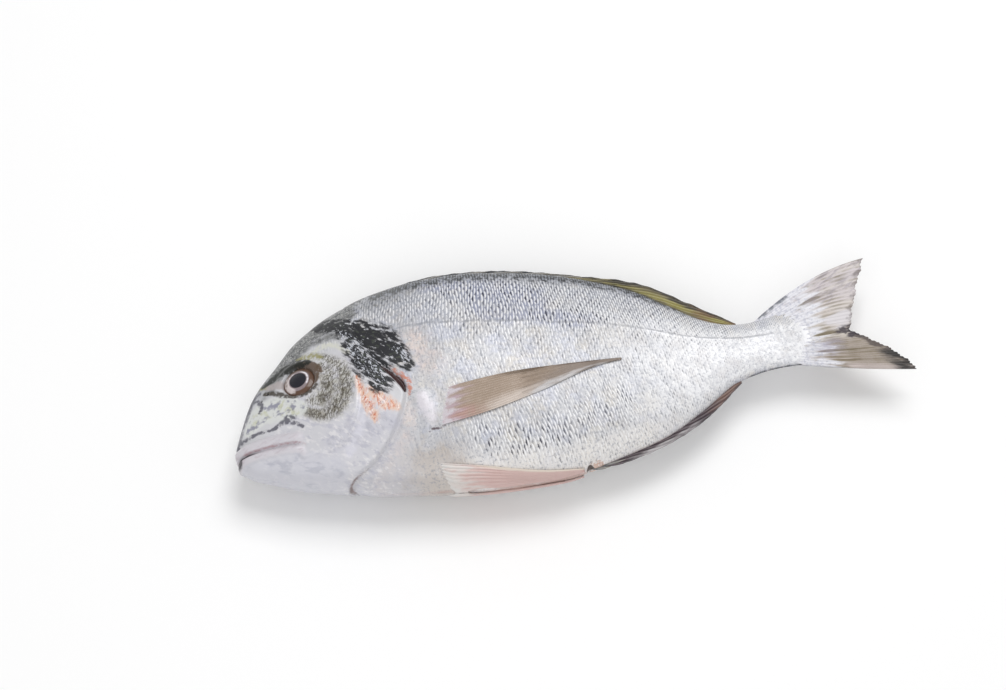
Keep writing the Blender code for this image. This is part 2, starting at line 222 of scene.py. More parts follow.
@dataclass(frozen=True)
class FishForm:
    """The body's shape, without its fins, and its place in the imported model."""

    snout_place: tuple[float, float] = (-154.94, -14.16)
    midline_height: float = 20
    length: float = 268
    half_width: float = 23.3
    flank_power: float = 0.92
    edge_power: float = 1.06
    head_taper: float = 0.26
    trunk_taper: float = 0.06
    taper_fade: tuple[float, float] = (40, 95)
    back: Spline = Spline((
        (0, 0), (2.9, 8.4), (7.1, 17.4), (11.3, 25.2), (17.2, 32.6), (23.9, 39),
        (34, 48.8), (44.8, 56.2), (60.3, 63.2), (80.2, 67.9), (99.4, 69.2), (127, 66.6),
        (154.6, 59.4), (180.9, 48.8), (197.5, 38.6), (212.7, 26), (222, 19),
        (233, 14), (245, 13.4), (258, 15), (268, 15.6),
    ), warp=0.5)
    belly: Spline = Spline((
        (0, 0), (1.2, -5.4), (4.9, -10.4), (13, -14.8), (25.3, -20.4), (44.4, -25.8),
        (59, -31), (84.9, -36.6), (111, -40.8), (128.7, -42.4), (147.7, -42.6),
        (165.6, -39.4), (184.8, -35.6), (200.5, -29.8), (214.2, -22.6), (225.8, -16.3),
        (236.6, -13.2), (248.8, -12.4), (258, -12.8), (268, -13.6),
    ), warp=0.5)
    width: Spline = Spline((
        (0, 0), (1.2, 0.15), (4, 0.27), (9, 0.38), (18, 0.51), (34, 0.68),
        (52, 0.83), (72, 0.94), (95, 1), (120, 0.98), (150, 0.84), (180, 0.62),
        (210, 0.38), (235, 0.23), (255, 0.13), (268, 0.03),
    ), warp=0.5)

    def section(self, s: np.ndarray, angle: np.ndarray) -> tuple[np.ndarray, np.ndarray]:
        """Points on the skin.

        Args:
            s: stations along the fish.
            angle: 0 at the back, a quarter turn at the left flank, minus that at the right one.

        Returns:
            Their heights h and their distances z from the median plane.
        """
        top, bottom = self.back(s), self.belly(s)
        rise = smooth(s, *self.taper_fade)
        taper = self.head_taper + (self.trunk_taper - self.head_taper) * rise
        cosine, sine = np.cos(angle), np.sin(angle)
        up = np.sign(cosine) * np.abs(cosine) ** self.edge_power
        side = np.sign(sine) * np.abs(sine) ** self.flank_power
        h = (top + bottom) / 2 + (top - bottom) / 2 * up
        return h, self.half_width * self.width(s) * side * (1 - taper * up)

    def flank(self, s: np.ndarray, h: np.ndarray) -> np.ndarray:
        """The flank's distance from the median plane, found by halving the angle.

        Args:
            s: stations along the fish.
            h: heights on the flank.

        Returns:
            The distances z.
        """
        low = np.zeros(np.broadcast(s, h).shape)
        high = np.full(low.shape, math.pi)
        for _ in range(HALVINGS):
            angle = (low + high) / 2
            above = self.section(s, angle)[0] > h
            low, high = np.where(above, angle, low), np.where(above, high, angle)
        return self.section(s, (low + high) / 2)[1]

    def above(self, s: np.ndarray, h: np.ndarray, lift: np.ndarray, side: Side) -> np.ndarray:
        """Points that lie off the flank, square to it.

        Args:
            s: stations along the fish.
            h: heights on the flank.
            lift: how far off the flank each point lies, in millimetres.
            side: the flank.

        Returns:
            The (s, h, z) points.
        """
        step = 0.5
        slope_s = (self.flank(s + step, h) - self.flank(s - step, h)) / (2 * step)
        slope_h = (self.flank(s, h + step) - self.flank(s, h - step)) / (2 * step)
        normal = np.stack([-slope_s, -np.clip(slope_h, -3, 3), np.ones(s.shape)], axis=-1)
        normal /= np.linalg.norm(normal, axis=-1, keepdims=True)
        points = np.stack([s, h, self.flank(s, h)], axis=-1) + normal * lift[..., None]
        return points * [1, 1, side.value]

    def outward(self, s: float, h: float, side: Side) -> Vector:
        """The direction that the flank faces, over a few millimetres round a place.

        Args:
            s: the place's station.
            h: its height.
            side: the flank.

        Returns:
            The direction, in the fish's own frame.
        """
        reach = 3
        around = self.flank(np.array([s + reach, s - reach, s, s]),
                            np.array([h, h, h + reach, h - reach]))
        slope_s = (around[0] - around[1]) / (2 * reach)
        slope_h = (around[2] - around[3]) / (2 * reach)
        normal = Vector((-slope_s, -slope_h, 1)).normalized()
        return Vector((normal.x, normal.y, side.value * normal.z))

    def place(self, points: np.ndarray, floor: float = 0) -> np.ndarray:
        """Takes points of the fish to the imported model's frame.

        Args:
            points: (s, h, z) rows in millimetres.
            floor: the lowest height that a point may have, in millimetres.

        Returns:
            The same points in metres, pressed flat where they would reach below the floor.
        """
        shift = np.array([*self.snout_place, self.midline_height])
        moved = np.asarray(points, float) + shift
        moved[..., 2] = np.maximum(moved[..., 2], floor)
        return moved * MM


@dataclass(frozen=True)
class ScalePattern:
    """Overlapping scales, each a rounded disc whose rear edge shows.

    Counted along a real fish's lateral line there are about 80 of them from the gill to the tail,
    so that they show every 2.6 mm along the trunk and get smaller towards the tail. Every second
    row is shifted by half of that.
    """

    rows: float = 25
    reach_along: float = 1.3
    reach_across: float = 0.66
    steps: int = 800
    pitch: Spline = Spline(((0, 1), (60, 1.2), (100, 1.35), (170, 1.25), (268, 0.85)))

    def columns(self, s: np.ndarray) -> np.ndarray:
        """How many scales lie between the snout and each station.

        Args:
            s: stations along the fish.

        Returns:
            The counts, which run on within each scale.
        """
        grid = np.linspace(self.pitch.low, self.pitch.high, self.steps)
        count = np.concatenate([[0], np.cumsum(np.diff(grid) / self.pitch(grid[1:]))])
        return np.interp(s, grid, count)

    def height(self, u: np.ndarray, v: np.ndarray) -> np.ndarray:
        """How far each point of a scale stands up, as a share.

        Args:
            u: scales along the fish.
            v: rows of scales down the flank.

        Returns:
            0 at the front of a scale's visible part, 1 at its rear edge.
        """
        best = np.full(np.shape(u), -1)
        found = np.zeros(np.shape(u))
        for odd in (0, 1):
            along = 2 * (np.mod((u - odd) / 2 + 0.5, 1) - 0.5)
            across = np.mod(v - odd / 2 + 0.5, 1) - 0.5
            inside = np.hypot(along / self.reach_along, across / self.reach_across) < 1
            top = inside & (along > best)
            best = np.where(top, along, best)
            crown = 1 - 0.5 * (across / self.reach_across) ** 2
            found = np.where(top, (along / self.reach_along * 0.5 + 0.5) * crown, found)
        return found


def plug(tree: bpy.types.NodeTree, target: bpy.types.Node, links: dict[str | int, Any]) -> None:
    """Fills a node's inputs.

    Args:
        tree: the node tree.
        target: the node.
        links: inputs by name or number, each a socket to link from, a plain value, or None to
            leave the input as it is.
    """
    for name, value in links.items():
        if isinstance(value, bpy.types.NodeSocket):
            tree.links.new(value, target.inputs[name])
        elif value is not None:
            target.inputs[name].default_value = value


def node(tree: bpy.types.NodeTree, kind: str, settings: dict[str, Any] | None = None,
         links: dict[str | int, Any] | None = None, output: int | str = 0) -> bpy.types.NodeSocket:
    """Adds a node with its settings and links.

    Args:
        tree: the node tree.
        kind: the node's type, without the "ShaderNode" that they all start with.
        settings: properties of the node by name.
        links: what its inputs get, as in plug.
        output: the output that is wanted.

    Returns:
        The output's socket.
    """
    made = tree.nodes.new("ShaderNode" + kind)
    for name, value in (settings or {}).items():
        setattr(made, name, value)
    plug(tree, made, links or {})
    return made.outputs[output]


@dataclass(frozen=True)
class Tint:
    """A pigment, or a painted highlight or shade, laid over a finish where a mask of the mesh says.

    Its breakup says how much a noise with features of grain_mm thins and thickens it, and its
    window how much cover it starts to show at and is full at.
    """

    mask: str
    colour: str
    strength: float = 1
    grain_mm: float = 2
    breakup: float = 0.3
    window: tuple[float, float] = (0, 1)
    also: str | None = None
    streak: float = 1
    lean: float = 0
    grain: Grain = Grain.CLOUD


@dataclass(frozen=True)
class Relief:
    """A fine unevenness that only the light shows, from a mask or from a noise."""

    source: str
    depth_mm: float
    grain_mm: float = 1
    strength: float = 1


class Shading:
    """The nodes of one finish, and the masks that they read from the mesh."""

    def __init__(self, tree: bpy.types.NodeTree) -> None:
        """Starts with the place of each point.

        Args:
            tree: the node tree that the nodes go to.
        """
        self.tree = tree
        self.place = node(tree, "TexCoord", output="Object")
        self.masks: dict[str, Any] = {}

    def mask(self, name: str) -> Any:
        """Looks up a mask, which is read from the mesh the first time.

        Args:
            name: the mask.

        Returns:
            Its socket.
        """
        if name not in self.masks:
            self.masks[name] = node(self.tree, "Attribute", {"attribute_name": name}, output="Fac")
        return self.masks[name]

    def work_out(self, steps: Sequence[tuple[Any, ...]]) -> None:
        """Makes new masks by a list of sums.

        Args:
            steps: for each new mask its name, the operation, and the values that it takes: masks by
                name, or numbers. The operation "RAMP" leads its value smoothly from 0 at the first
                number to 1 at the second.
        """
        for name, operation, *values in steps:
            kind, settings = "Math", {"operation": operation}
            if operation == "RAMP":
                kind, settings = "MapRange", {"interpolation_type": "SMOOTHSTEP"}
            self.masks[name] = node(self.tree, kind, settings, {
                i: self.mask(value) if isinstance(value, str) else value
                for i, value in enumerate(values)
            })

    def noise(self, grain_mm: float, streak: float = 1, lean: float = 0) -> Any:
        """Lays out a noise.

        Args:
            grain_mm: the size of the noise's features.
            streak: how many times longer than wide they are.
            lean: the direction in which they are long, in degrees from the tail's.

        Returns:
            The socket of the noise's value.
        """
        place = self.place
        if streak != 1:
            place = node(self.tree, "Mapping", {"vector_type": "TEXTURE"}, {
                "Vector": place, "Rotation": (0, 0, math.radians(lean)),
                "Scale": (streak, 1, 1),
            })
        return node(self.tree, "TexNoise", {"noise_dimensions": "3D"}, {
            "Vector": place, "Scale": 1 / (grain_mm * MM), "Detail": 5, "Roughness": 0.62,
        })

    def weight(self, tint: Tint) -> Any:
        """Works out how strongly a tint covers each point.

        Args:
            tint: the tint.

        Returns:
            The socket of its weight.
        """
        times = {"operation": "MULTIPLY"}
        cover = self.mask(tint.mask)
        if tint.also:
            cover = node(self.tree, "Math", times, {0: cover, 1: self.mask(tint.also)})
        if tint.breakup:
            noise = self.noise(tint.grain_mm, tint.streak, tint.lean)
            if tint.grain is Grain.WORM:
                apart = node(self.tree, "Math", {"operation": "SUBTRACT"}, {0: noise, 1: 0.5})
                noise = node(self.tree, "Math", {"operation": "ABSOLUTE"}, {0: apart})
            thin, thick = tint.grain.value
            spread = node(self.tree, "MapRange", {"clamp": False}, {
                0: noise, 1: thin, 2: thick, 3: 1 - tint.breakup, 4: 1 + tint.breakup,
            })
            cover = node(self.tree, "Math", times, {0: cover, 1: spread})
        start, full = tint.window
        return node(self.tree, "MapRange", {"interpolation_type": "SMOOTHSTEP"},
                    {0: cover, 1: start, 2: full, 3: 0, 4: tint.strength})

    def normal(self, reliefs: Sequence[Relief]) -> Any:
        """Lays each relief over the one before.

        Args:
            reliefs: the reliefs.

        Returns:
            The socket of the normal.
        """
        normal = None
        for relief in reliefs:
            rough = relief.source == "noise"
            normal = node(self.tree, "Bump", links={
                "Height": self.noise(relief.grain_mm) if rough else self.mask(relief.source),
                "Distance": relief.depth_mm * MM, "Strength": relief.strength, "Normal": normal,
            })
        return normal

    def draw_scales(self, pattern: ScalePattern) -> None:
        """Adds the masks of the scales, from the mesh's scale_u and scale_v counts.

        scale_edge is 1 on a scale's rear rim, where a painted shade line goes; scale_painted_glint
        is 1 just ahead of it, for a painted highlight; scale_pocket_shade_and_pigment is 1 where
        two scales lie over it, for dark pigment and painted shade; scale_height is its tilt, and
        scale_shade a value of its own for each. The even and the odd columns of scales are laid out
        apart, and the one on top is picked.

        Args:
            pattern: how the scales overlap.
        """
        for k in (0, 1):
            shift = 0.5 - k / 2
            steps = (
                ("half", "MULTIPLY_ADD", "scale_u", 0.5, shift), ("column", "FLOOR", "half"),
                ("part", "FRACT", "half"), ("along", "MULTIPLY_ADD", "part", 2, -1),
                ("shifted", "ADD", "scale_v", shift), ("row", "FLOOR", "shifted"),
                ("down", "FRACT", "shifted"), ("across", "SUBTRACT", "down", 0.5),
                ("a", "DIVIDE", "along", pattern.reach_along),
                ("b", "DIVIDE", "across", pattern.reach_across),
                ("b_square", "MULTIPLY", "b", "b"),
                ("square", "MULTIPLY_ADD", "a", "a", "b_square"), ("radius", "SQRT", "square"),
                ("inside", "LESS_THAN", "radius", 1), ("ahead", "ADD", "along", 3),
                ("rank", "MULTIPLY", "ahead", "inside"),
                # Any numbers do here that give neighbours unlike shades.
                ("seed", "MULTIPLY", "column", 1.317),
                ("seeds", "MULTIPLY_ADD", "row", 0.731, "seed"),
                ("turn", "ADD", "seeds", k * 2.11), ("sine", "SINE", "turn"),
                ("wild", "MULTIPLY", "sine", 437.58), ("shade", "FRACT", "wild"),
            )
            self.work_out(steps)
            for name in ("rank", "radius", "a", "b", "shade"):
                self.masks[f"{name}{k}"] = self.masks[name]
        self.work_out((("first", "GREATER_THAN", "rank0", "rank1"),))
        for name in ("radius", "a", "b", "shade"):
            self.work_out(((f"{name}_gap", "SUBTRACT", f"{name}0", f"{name}1"),
                           (name, "MULTIPLY_ADD", f"{name}_gap", "first", f"{name}1")))
        self.work_out((
            ("rim", "RAMP", "radius", 0.78, 0.98), ("behind", "RAMP", "a", -0.1, 0.4),
            ("before_rim", "RAMP", "a", 0.3, 0.6), ("in_rim", "RAMP", "radius", 0.95, 0.75),
            ("front", "RAMP", "a", 0.45, 0), ("aside", "ABSOLUTE", "b"),
            ("middle", "RAMP", "aside", 0.62, 0.2), ("hollow", "MULTIPLY", "front", "middle"),
            ("lot", "RAMP", "shade", 0.15, 0.85), ("chance", "MULTIPLY_ADD", "lot", 0.8, 0.35),
            ("b_square", "MULTIPLY", "b", "b"), ("crown", "MULTIPLY_ADD", "b_square", -0.5, 1),
            ("tilt", "MULTIPLY_ADD", "a", 0.5, 0.5),
            # edge carries a painted shade line on the rim, painted_glint a painted highlight inside
            # it, and pocket_shade_and_pigment dark pigment and painted shade where scales overlap.
            ("edge", "MULTIPLY", "rim", "behind"), ("painted_glint", "MULTIPLY", "before_rim", "in_rim"),
            ("pocket_shade_and_pigment", "MULTIPLY", "hollow", "chance"), ("height", "MULTIPLY", "tilt", "crown"),
        ))
        for name in ("edge", "painted_glint", "pocket_shade_and_pigment", "height", "shade"):
            self.work_out(((f"scale_{name}", "MULTIPLY", name, "scaled"),))
        # The names of the steps end here, so that none stands for a mask of the mesh.
        self.masks = {name: socket for name, socket in self.masks.items() if "scale" in name}


@dataclass(frozen=True)
class Finish:
    """A wet living surface: a ground colour, pigments and painted highlights and shade over it,
    gloss and fine relief.
    """

    name: str
    ground: str
    tints: tuple[Tint, ...] = ()
    reliefs: tuple[Relief, ...] = ()
    roughness: float = 0.4
    roughness_spread: float = 0.08
    metallic: float = 0
    ior: float = 1.4
    coat: float = 0.5
    coat_roughness: float = 0.12
    scales: ScalePattern | None = None

    def material(self) -> bpy.types.Material:
        """Builds the material's nodes.

        Returns:
            The material.
        """
        made = bpy.data.materials.new(self.name)
        made.use_nodes = True
        tree = made.node_tree
        nodes = Shading(tree)
        if self.scales:
            nodes.draw_scales(self.scales)
        colour = node(tree, "RGB")
        colour.default_value = linear(self.ground)
        for tint in self.tints:
            colour = node(tree, "Mix", {"data_type": "RGBA"}, {
                0: nodes.weight(tint), 6: colour, 7: linear(tint.colour),
            }, output=2)
        low, high = (self.roughness + sign * self.roughness_spread for sign in (-1, 1))
        plug(tree, tree.nodes["Principled BSDF"], {
            "Base Color": colour,
            "Roughness": node(tree, "MapRange", links={
                0: nodes.noise(1.2), 1: 0.3, 2: 0.7, 3: low, 4: high}),
            "Normal": nodes.normal(self.reliefs), "Metallic": self.metallic, "IOR": self.ior,
            "Coat Weight": self.coat, "Coat Roughness": self.coat_roughness,
        })
        return made


@dataclass(frozen=True)
class FinFinish(Finish):
    """A fin's wet membrane, with what most fins share."""

    reliefs: tuple[Relief, ...] = (Relief("noise", 0.1, 0.8, 0.6),)
    roughness: float = 0.42
    coat: float = 0.25
    coat_roughness: float = 0.2


# Pattern sizes are in millimetres on the fish, near the real ones. The finest mottles, under a
# millimetre on a real head, are drawn up to twice as coarse, so that they show at all.

# Silver fish skin: guanine crystals under a clear wet film. It reads as bright grey with a soft
# metallic gloss, dark pigment on the back and the head, and blood showing pink round the gills.
# Painted highlights lie on the scale rims, and painted shade along them, where scales overlap,
# under the gill cover's edge, along the keel and in the mouth, nostrils, gill slit and vent.
SKIN = Finish(
    name="wet_silver_skin",
    ground="#cacacd",
    tints=(
        Tint("scaled", "#cfc5b4", 0.4, 13, 1.6, (0.8, 1.9)),
        Tint("scaled", "#b9bfd6", 0.4, 11, 1.6, (0.9, 2)),
        Tint("upper", "#9fa2ac", 0.8, 9, 0.45, streak=2, lean=-20),
        Tint("violet", "#7f86a6", 0.6, 5, 0.8, (0.1, 1)),
        Tint("pale", "#f8f8f9", 0.9, 12, 0.25),
        Tint("warm", "#e3cfc6", 0.65, 4, 0.9, (0.1, 1.5)),
        Tint("scale_shade", "#a3a5ae", 0.4, 5, 0.5),
        Tint("scaled", "#b3aeac", 0.45, 6, 1.7, (0.95, 2.2)),
        Tint("belly", "#efebe7", 0.7, 8, 0.4),
        Tint("throat", "#b1a69d", 0.65, 6, 0.5),
        Tint("scaled", "#8f929c", 0.55, 1.2, 1.7, (1, 2.2)),
        Tint("pale", "#f1f1f6", 0.3, 9, 0.5, (0.2, 1.2)),
        # Painted highlight: a bright band just inside each scale's rear rim.
        Tint("scale_painted_glint", "#fafafb", 0.8, 3, 0.9, (0, 0.8), also="marked"),
        # Painted shade: a thin dark line along each scale's rear rim, where it stands over the
        # next.
        Tint("scale_edge", "#85878e", 0.4, 3.5, 0.7, also="marked"),
        # Dark pigment and painted shade where two scales lie over a third; the next tint lays the
        # dark spots in the same places.
        Tint("scale_pocket_shade_and_pigment", "#50535e", 0.88, 4.5, 1.2, (0.05, 0.95), also="marked"),
        Tint("scale_pocket_shade_and_pigment", "#1f2236", 0.85, 4, 1.4, (0.15, 0.75), also="spots"),
        # Painted shade: a pinkish-brown strip along the keel between the pelvic fins and along the
        # lower contour.
        Tint("keel", "#b08f86", 0.85, 5, 0.9, (0.1, 1.2), streak=4),
        Tint("opercle", "#b6b6c6", 0.75, 4, 0.6),
        Tint("opercle", "#747589", 0.75, 1.8, 1.7, (0.6, 1.9), streak=1.8, lean=-60),
        Tint("head", "#cbcad0", 0.7, 7, 0.3),
        Tint("head", "#a9a9b8", 0.45, 2.4, 1.6, (0.9, 2.1), streak=2, lean=-35),
        Tint("head", "#e9e6e6", 0.5, 1.9, 1.7, (1, 2.3), streak=1.8, lean=-50),
        Tint("jaw", "#c8c8d0", 0.75, 7, 0.4),
        Tint("jaw", "#a4a6b2", 0.5, 4, 1.6, (0.95, 2), streak=2.5, lean=-15),
        Tint("preopercle", "#d9d8e2", 0.55, 4, 0.7, (0.1, 1.3)),
        Tint("ridge", "#464a53", 0.9, 3, 0.8, (0.1, 1)),
        Tint("ridge", "#101317", 0.94, 3, 0.7, (0.38, 1)),
        # Painted highlight: the same bright band on the scales over the dark back.
        Tint("scale_painted_glint", "#9aa0ac", 0.6, 2, 0.9, (0.1, 0.9), also="ridge"),
        Tint("nape", "#646564", 0.85, 3, 0.5, (0.1, 0.95)),
        Tint("nape", "#33353b", 0.6, 1.5, 1.6, (0.7, 1.6), streak=1.5, lean=40),
        Tint("nape", "#c2c2be", 0.6, 0.9, 1.7, (1.15, 1.8)),
        Tint("cheek", "#adaba1", 0.8, 3, 0.9, (0.1, 1.5)),
        Tint("cheek_low", "#6f664f", 0.5, 1.6, 1.2, (0.1, 1.5), streak=2, lean=60),
        Tint("cheek", "#d2d2ce", 0.6, 1.6, 1.5, (0.95, 2), streak=1.6, lean=70),
        Tint("cheek", "#3a3122", 0.8, 1.2, 1.3, (0.55, 1.9), streak=2.4, lean=68,
             grain=Grain.WORM),
        Tint("cheek_low", "#2f281c", 0.4, 1.5, 1.2, (0.5, 1.9), streak=2, lean=64,
             grain=Grain.WORM),
        Tint("suborbital", "#d5d7d4", 0.85, 3, 0.4, (0.05, 0.7)),
        Tint("suborbital", "#bcbd98", 0.6, 4, 1.5, (0.85, 1.9)),
        Tint("suborbital", "#72718a", 0.75, 3.6, 1.6, (0.8, 1.9)),
        Tint("crescent", "#d2d2c6", 0.8, 2, 0.8, (0.1, 1.3)),
        Tint("blush", "#dfbca6", 0.85, 2, 0.9, (0.2, 1.1), streak=2, lean=75),
        Tint("blush", "#cb7f5f", 0.8, 1.1, 1.5, (0.65, 1.7), streak=2.4, lean=76),
        Tint("blush", "#a84436", 0.7, 0.7, 1.7, (1.2, 1.9), streak=1.8, lean=60),
        Tint("blush", "#eee0dc", 0.8, 0.9, 1.7, (1.1, 1.8), streak=2.2, lean=80),
        Tint("slit_rim", "#c7785c", 0.8, 1.2, 1.4, (0.2, 1.3), streak=2, lean=-50),
        Tint("blotch", "#1a1b20", 0.98, 1.9, 1.3, (0.1, 0.62), streak=3, lean=-48),
        Tint("blotch", "#4a4f45", 0.75, 1.5, 1.7, (1.2, 2.1), streak=1.6, lean=-30),
        Tint("fleck", "#c6c9d2", 0.9, 0.8, 1.8, (1.2, 1.9), streak=2.2, lean=-66),
        Tint("snout", "#4c4b58", 0.85, 2, 0.9, (0.2, 1)),
        Tint("gold", "#8c8749", 0.8, 1.8, 0.9, (0.1, 1.3)),
        Tint("orbit", "#54402f", 0.92, 1.6, 0.7, (0.1, 0.7)),
        Tint("lid", "#3a3226", 0.9, 1.6, 0.8, (0.1, 0.9)),
        Tint("eye_corner", "#aca3a2", 0.85, 2, 0.5, (0.1, 0.9)),
        Tint("brow", "#191c17", 0.96, 1.8, 0.8, (0.1, 0.65)),
        Tint("lip", "#cdc9cf", 0.8, 3, 0.3, (0.1, 0.9)),
        Tint("lip", "#b3a6ad", 0.4, 2, 1.5, (0.9, 1.9), streak=4, lean=15),
        Tint("lip_line", "#ab8084", 0.6, 2, 0.8, (0.1, 1.3)),
        Tint("lateral", "#8d8f96", 0.6, 2.5, 0.7, (0.1, 0.9)),
        # Painted shade: a dark line under the rear edge of the gill cover.
        Tint("gill_edge_painted_shade", "#6a4b42", 0.75, 3, 0.5, (0.2, 1)),
        # Dark red of the gills, darkened with painted shade deep in the gill slit.
        Tint("slit", "#35100e", 0.95, 2, 0.4, (0.2, 0.7)),
        # Painted shade in the gap between the lips and at the front of the mouth.
        Tint("mouth_gap_shade", "#2d2a2e", 0.9, 2, 0.2, (0.2, 0.8)),
        # Painted shade: the near-black in the nostril pits.
        Tint("nostril", "#1d1b1f", 0.9, 1, 0.2, (0.2, 0.8)),
        Tint("pectoral_root", "#e2dde4", 0.75, 2, 0.7, (0.05, 1.1)),
        Tint("root_line", "#4a3338", 0.85, 1.5, 0.4, (0.2, 0.9)),
        Tint("vent_rim", "#cda793", 0.8, 1.2, 1, (0.2, 1.2)),
        # Painted shade: the dark brown in the vent's opening.
        Tint("vent", "#2a1611", 0.95, 1.2, 0.5, (0.2, 0.8)),
    ),
    reliefs=(
        Relief("scale_height", 0.14, strength=0.8),
        Relief("noise", 0.12, 1.3, 0.6),
    ),
    roughness=0.4,
    metallic=0.08,
    ior=1.34,
    coat=0.2,
    coat_roughness=0.22,
    scales=ScalePattern(),
)

# Tail fin membrane over bony rays: thin and horn-like. It reads as pale mauve to tan, streaked
# along the rays, with a sooty fork and tip.
CAUDAL_SKIN = FinFinish(
    name="tail_fin_membrane",
    ground="#c8bfb7",
    tints=(
        Tint("fan", "#cdc6cb", 0.75, 7, 0.4, streak=4, lean=25),
        Tint("band", "#d3ccc6", 0.6, 9, 0.3, (0.4, 0.9)),
        Tint("lower", "#9e9187", 0.8, 6, 0.35, streak=4, lean=-20),
        Tint("ray", "#75694f", 0.62, 9, 0.8, (0.35, 1.3)),
        Tint("streak", "#6d6146", 0.85, 6, 0.7, (0.15, 0.9), streak=5, lean=-5),
        Tint("fan", "#8c8590", 0.45, 2, 1.5, (0.8, 1.9), streak=6, lean=30),
        Tint("under", "#c3b7b4", 0.75, 4, 0.4, (0.1, 0.9)),
        Tint("root", "#e2e2e8", 0.95, 3, 0.7, (0.15, 0.9), streak=3),
        Tint("root", "#a9abba", 0.5, 1.6, 1.6, (0.9, 1.7)),
        Tint("root_dusk", "#9d97a8", 0.55, 3, 1.2, (0.1, 1.4), streak=3, lean=-10),
        Tint("clear", "#dad7dc", 0.8, 3.5, 0.9, (0.1, 1.1), streak=5, lean=5),
        Tint("upper_edge", "#62666f", 0.85, 3, 0.8, (0.2, 1.1)),
        Tint("lower_edge", "#463c39", 0.85, 2.5, 0.9, (0.15, 1), streak=4, lean=-22),
        Tint("edge", "#584c48", 0.8, 3, 0.6, (0.2, 1)),
        Tint("fork", "#352c36", 0.92, 2.4, 1.3, (0.3, 1.1), streak=2.5, lean=-5),
        Tint("tip", "#1f1c1b", 0.96, 4, 0.8, (0.15, 1.05), streak=5, lean=-25),
    ),
    reliefs=(Relief("noise", 0.1, 0.9, 0.6),),
)
# Pectoral fin membrane: so thin that the flank shines through. It reads as dull tan, clearer below
# and lilac at its fleshy root.
PECTORAL_SKIN = FinFinish(
    name="pectoral_fin_membrane",
    ground="#ab998a",
    tints=(
        Tint("ray", "#8f7d69", 0.5, 4, 0.6, (0.25, 1.1)),
        Tint("lower", "#d0c4bb", 0.8, 5, 0.6, (0.1, 0.9), streak=5, lean=10),
        Tint("tip", "#8f837c", 0.8, 5, 0.5, (0.1, 1), streak=5, lean=8),
        Tint("clear", "#d3d1d2", 0.85, 3, 0.9, (0.15, 1), streak=5, lean=12),
        Tint("edge", "#5f4c3a", 0.8, 4, 0.7, (0.2, 1.1), streak=5, lean=8),
        Tint("low_root", "#b9928c", 0.7, 4, 0.5, (0.1, 0.9)),
        Tint("root", "#bba6b0", 0.85, 2.5, 0.4, (0.05, 1.1), streak=2, lean=8),
        Tint("base", "#d0cad0", 0.9, 2, 0.7, (0.1, 1.1)),
    ),
    reliefs=(Relief("noise", 0.08, 0.8, 0.5),),
    roughness=0.4,
)
# Pelvic fin membrane: full of fine blood vessels, so it reads as soft pink with a cream front ray.
PELVIC_SKIN = FinFinish(
    name="pelvic_fin_membrane",
    ground="#cbaca7",
    tints=(
        Tint("ray", "#d8c0ba", 0.45, 5, 0.5, (0.2, 1)),
        Tint("low_root", "#c09a93", 0.6, 4, 0.4, (0.1, 0.9)),
        Tint("edge", "#ddd3c6", 0.9, 4, 0.3, (0.1, 0.7)),
        Tint("root", "#d8d3cf", 0.9, 3, 0.8, (0.1, 0.9), streak=4, lean=-8),
        Tint("base", "#d5d2cf", 0.9, 2, 0.5, (0.1, 0.9)),
    ),
    reliefs=(Relief("noise", 0.08, 0.8, 0.5),),
    roughness=0.4,
)
# Dorsal fin membrane, folded down: thick with pigment. It reads as olive with a near-black fold.
FOLDED_SKIN = FinFinish(
    name="folded_fin_membrane",
    ground="#6f6647",
    tints=(
        Tint("olive", "#9c9450", 0.85, 2, 0.9, (0.15, 1), streak=8, lean=-27),
        Tint("ray", "#a8a07a", 0.35, 5, 0.8, (0.3, 1.3), streak=4, lean=-20),
        Tint("fold", "#39342b", 0.88, 1.8, 0.9, (0.15, 0.9), streak=8, lean=-25),
        Tint("tip", "#7b5a3f", 0.7, 2.5, 0.8, (0.3, 1.2), streak=4, lean=-25),
        Tint("root", "#2f2d26", 0.85, 3, 0.7, (0.1, 0.9)),
        Tint("edge", "#332d28", 0.9, 4, 0.6, (0.2, 0.9)),
        Tint("front", "#202329", 0.94, 3, 0.4, (0.1, 0.8)),
        Tint("ray", "#6a6e77", 0.4, 2, 0.8, (0.4, 1.3), also="front"),
    ),
)
# Anal fin membrane, folded up: it reads as a dark plum line with a pale outer stretch.
ANAL_SKIN = FinFinish(
    name="anal_fin_membrane",
    ground="#4b4046",
    tints=(
        Tint("ray", "#71676a", 0.4, 5, 0.6, (0.3, 1.2)),
        Tint("tip", "#8a6f63", 0.7, 2.5, 0.8, (0.2, 1.2), streak=5, lean=28),
        Tint("edge", "#393338", 0.8, 4, 0.6, (0.2, 0.9)),
        Tint("outer", "#b4b0b2", 0.9, 4, 0.6, (0.15, 0.9), streak=4, lean=30),
    ),
)
# Fin spine: bare enamel-hard bone under a film of skin, pale with darker ends.
SPINE_BONE = Finish(
    name="fin_spine_bone",
    ground="#8d8b88",
    tints=(
        Tint("tip", "#b9b3a8", 0.7, 2, 0.4, (0.1, 0.9)),
        Tint("root", "#55565a", 0.8, 2, 0.4, (0.1, 0.9)),
    ),
    reliefs=(Relief("noise", 0.05, 0.6, 0.5),),
    roughness=0.35,
    coat=0.4,
)
